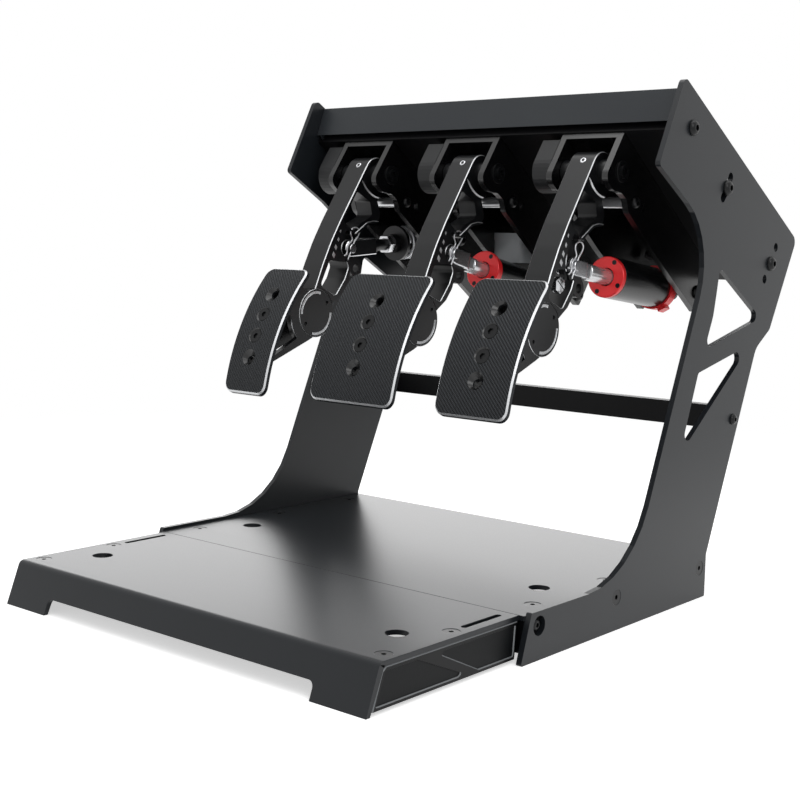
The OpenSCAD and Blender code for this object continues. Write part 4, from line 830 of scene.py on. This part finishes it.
def aimCamera(plan):
    camera = bpy.data.objects.new("camera", bpy.data.cameras.new("camera"))
    bpy.context.scene.collection.objects.link(camera)
    turn, rise, roll = (math.radians(plan[k]) for k in ("azimuth", "elevation", "roll"))
    ahead = Vector((-math.sin(turn) * math.cos(rise), math.cos(turn) * math.cos(rise), -math.sin(rise)))
    right = Vector((math.cos(turn), math.sin(turn), 0))
    up = right.cross(ahead)
    rolledRight = right * math.cos(roll) + up * math.sin(roll)
    rolledUp = up * math.cos(roll) - right * math.sin(roll)
    turned = Matrix((rolledRight, rolledUp, -ahead)).transposed().to_4x4()
    camera.matrix_world = Matrix.Translation(plan["place"]) @ turned
    camera.data.lens = plan["lens"]
    camera.data.sensor_width = plan["sensor"]
    camera.data.shift_x, camera.data.shift_y = plan["shift"]
    camera.data.clip_end = plan["farthest"]
    bpy.context.scene.camera = camera


aimCamera(cameraPlan)


# 1 where the camera, a reflection or a ray through glass looks, 0 where light is gathered
def lookingRay(tree):
    ray = addNode(tree, "ShaderNodeLightPath").outputs
    some = addNode(tree, "ShaderNodeMath", links={0: ray["Is Camera Ray"], 1: ray["Is Glossy Ray"]},
                   operation="MAXIMUM")
    return addNode(tree, "ShaderNodeMath", links={0: some.outputs[0], 1: ray["Is Transmission Ray"]},
                   operation="MAXIMUM").outputs[0]


# Floor: matt white paper that keeps the shadow near the pedals and runs out into the white behind
white = linear("#ffffff")
floorPlan = {"half": 12, "paper": "#f4f4f4", "roughness": 0.9, "lift": 0.55, "fadeFrom": 0.55, "fadeTo": 1.3}
edge = floorPlan["half"]
floorCorners = [(-edge, -edge, 0), (edge, -edge, 0), (edge, edge, 0), (-edge, edge, 0)]
floorMesh = bpy.data.meshes.new("floor")
floorMesh.from_pydata(floorCorners, [], [(0, 1, 2, 3)])
floor = bpy.data.objects.new("floor", floorMesh)
bpy.context.scene.collection.objects.link(floor)
paper, tree, shader, place = newMaterial("whitePaperFloor")
shader.inputs["Base Color"].default_value = linear(floorPlan["paper"])
shader.inputs["Roughness"].default_value = floorPlan["roughness"]
shader.inputs["Specular IOR Level"].default_value = 0.0
looking = lookingRay(tree)
lift = addNode(tree, "ShaderNodeMath", {1: floorPlan["lift"]}, {0: looking}, operation="MULTIPLY")
glow = addNode(tree, "ShaderNodeEmission", {"Color": white}, {"Strength": lift.outputs[0]})
near = addNode(tree, "ShaderNodeAddShader", links={0: shader.outputs[0], 1: glow.outputs[0]})
far = addNode(tree, "ShaderNodeEmission", {"Color": white, "Strength": 1.0})
reach = addNode(tree, "ShaderNodeVectorMath", links={0: place}, operation="LENGTH")
fade = addNode(tree, "ShaderNodeMapRange",
               {"From Min": floorPlan["fadeFrom"], "From Max": floorPlan["fadeTo"]},
               {"Value": reach.outputs["Value"]}, interpolation_type="SMOOTHSTEP")
part = addNode(tree, "ShaderNodeMath", links={0: fade.outputs["Result"], 1: looking}, operation="MULTIPLY")
blended = addNode(tree, "ShaderNodeMixShader",
                  links={0: part.outputs[0], 1: near.outputs[0], 2: far.outputs[0]})
surface = next(node for node in tree.nodes if node.bl_idname == "ShaderNodeOutputMaterial").inputs["Surface"]
tree.links.new(blended.outputs[0], surface)
floorMesh.materials.append(paper)
floor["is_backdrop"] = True

# World: soft white light, and plain white where it is looked at
world = bpy.data.worlds.new("studio")
bpy.context.scene.world = world
world.use_nodes = True
sky = world.node_tree
sky.nodes.clear()
lit = addNode(sky, "ShaderNodeBackground", {"Color": white, "Strength": 0.5})
seen = addNode(sky, "ShaderNodeBackground", {"Color": white, "Strength": 1.0})
mixed = addNode(sky, "ShaderNodeMixShader", links={0: lookingRay(sky), 1: lit.outputs[0], 2: seen.outputs[0]})
addNode(sky, "ShaderNodeOutputWorld", links={"Surface": mixed.outputs[0]})

# Softboxes: one above, one at the front right, and a long one at the rear left that the heel plates mirror
lamps = {
    "overhead": {"place": (0.0, 0.1, 1.7), "aim": (0, 0, 0.2), "size": (1.6, 1.6), "power": 13},
    "frontRight": {"place": (1.45, -0.75, 1.35), "aim": (0.1, 0.0, 0.4), "size": (0.8, 0.9), "power": 7},
    "rearLeft": {"place": (-1.7, 1.5, 0.62), "aim": (0, 0, 0.1), "size": (2.6, 0.9), "power": 14},
}
for name, lamp in lamps.items():
    light = bpy.data.lights.new(name, "AREA")
    light.shape = "RECTANGLE"
    light.size, light.size_y = lamp["size"]
    light.energy = lamp["power"]
    holder = bpy.data.objects.new(name, light)
    bpy.context.scene.collection.objects.link(holder)
    direction = Vector(lamp["aim"]) - Vector(lamp["place"])
    turned = direction.to_track_quat("-Z", "Y").to_matrix().to_4x4()
    holder.matrix_world = Matrix.Translation(lamp["place"]) @ turned

bpy.context.scene.view_settings.view_transform = "Standard"
print("studio ready")

low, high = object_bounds()
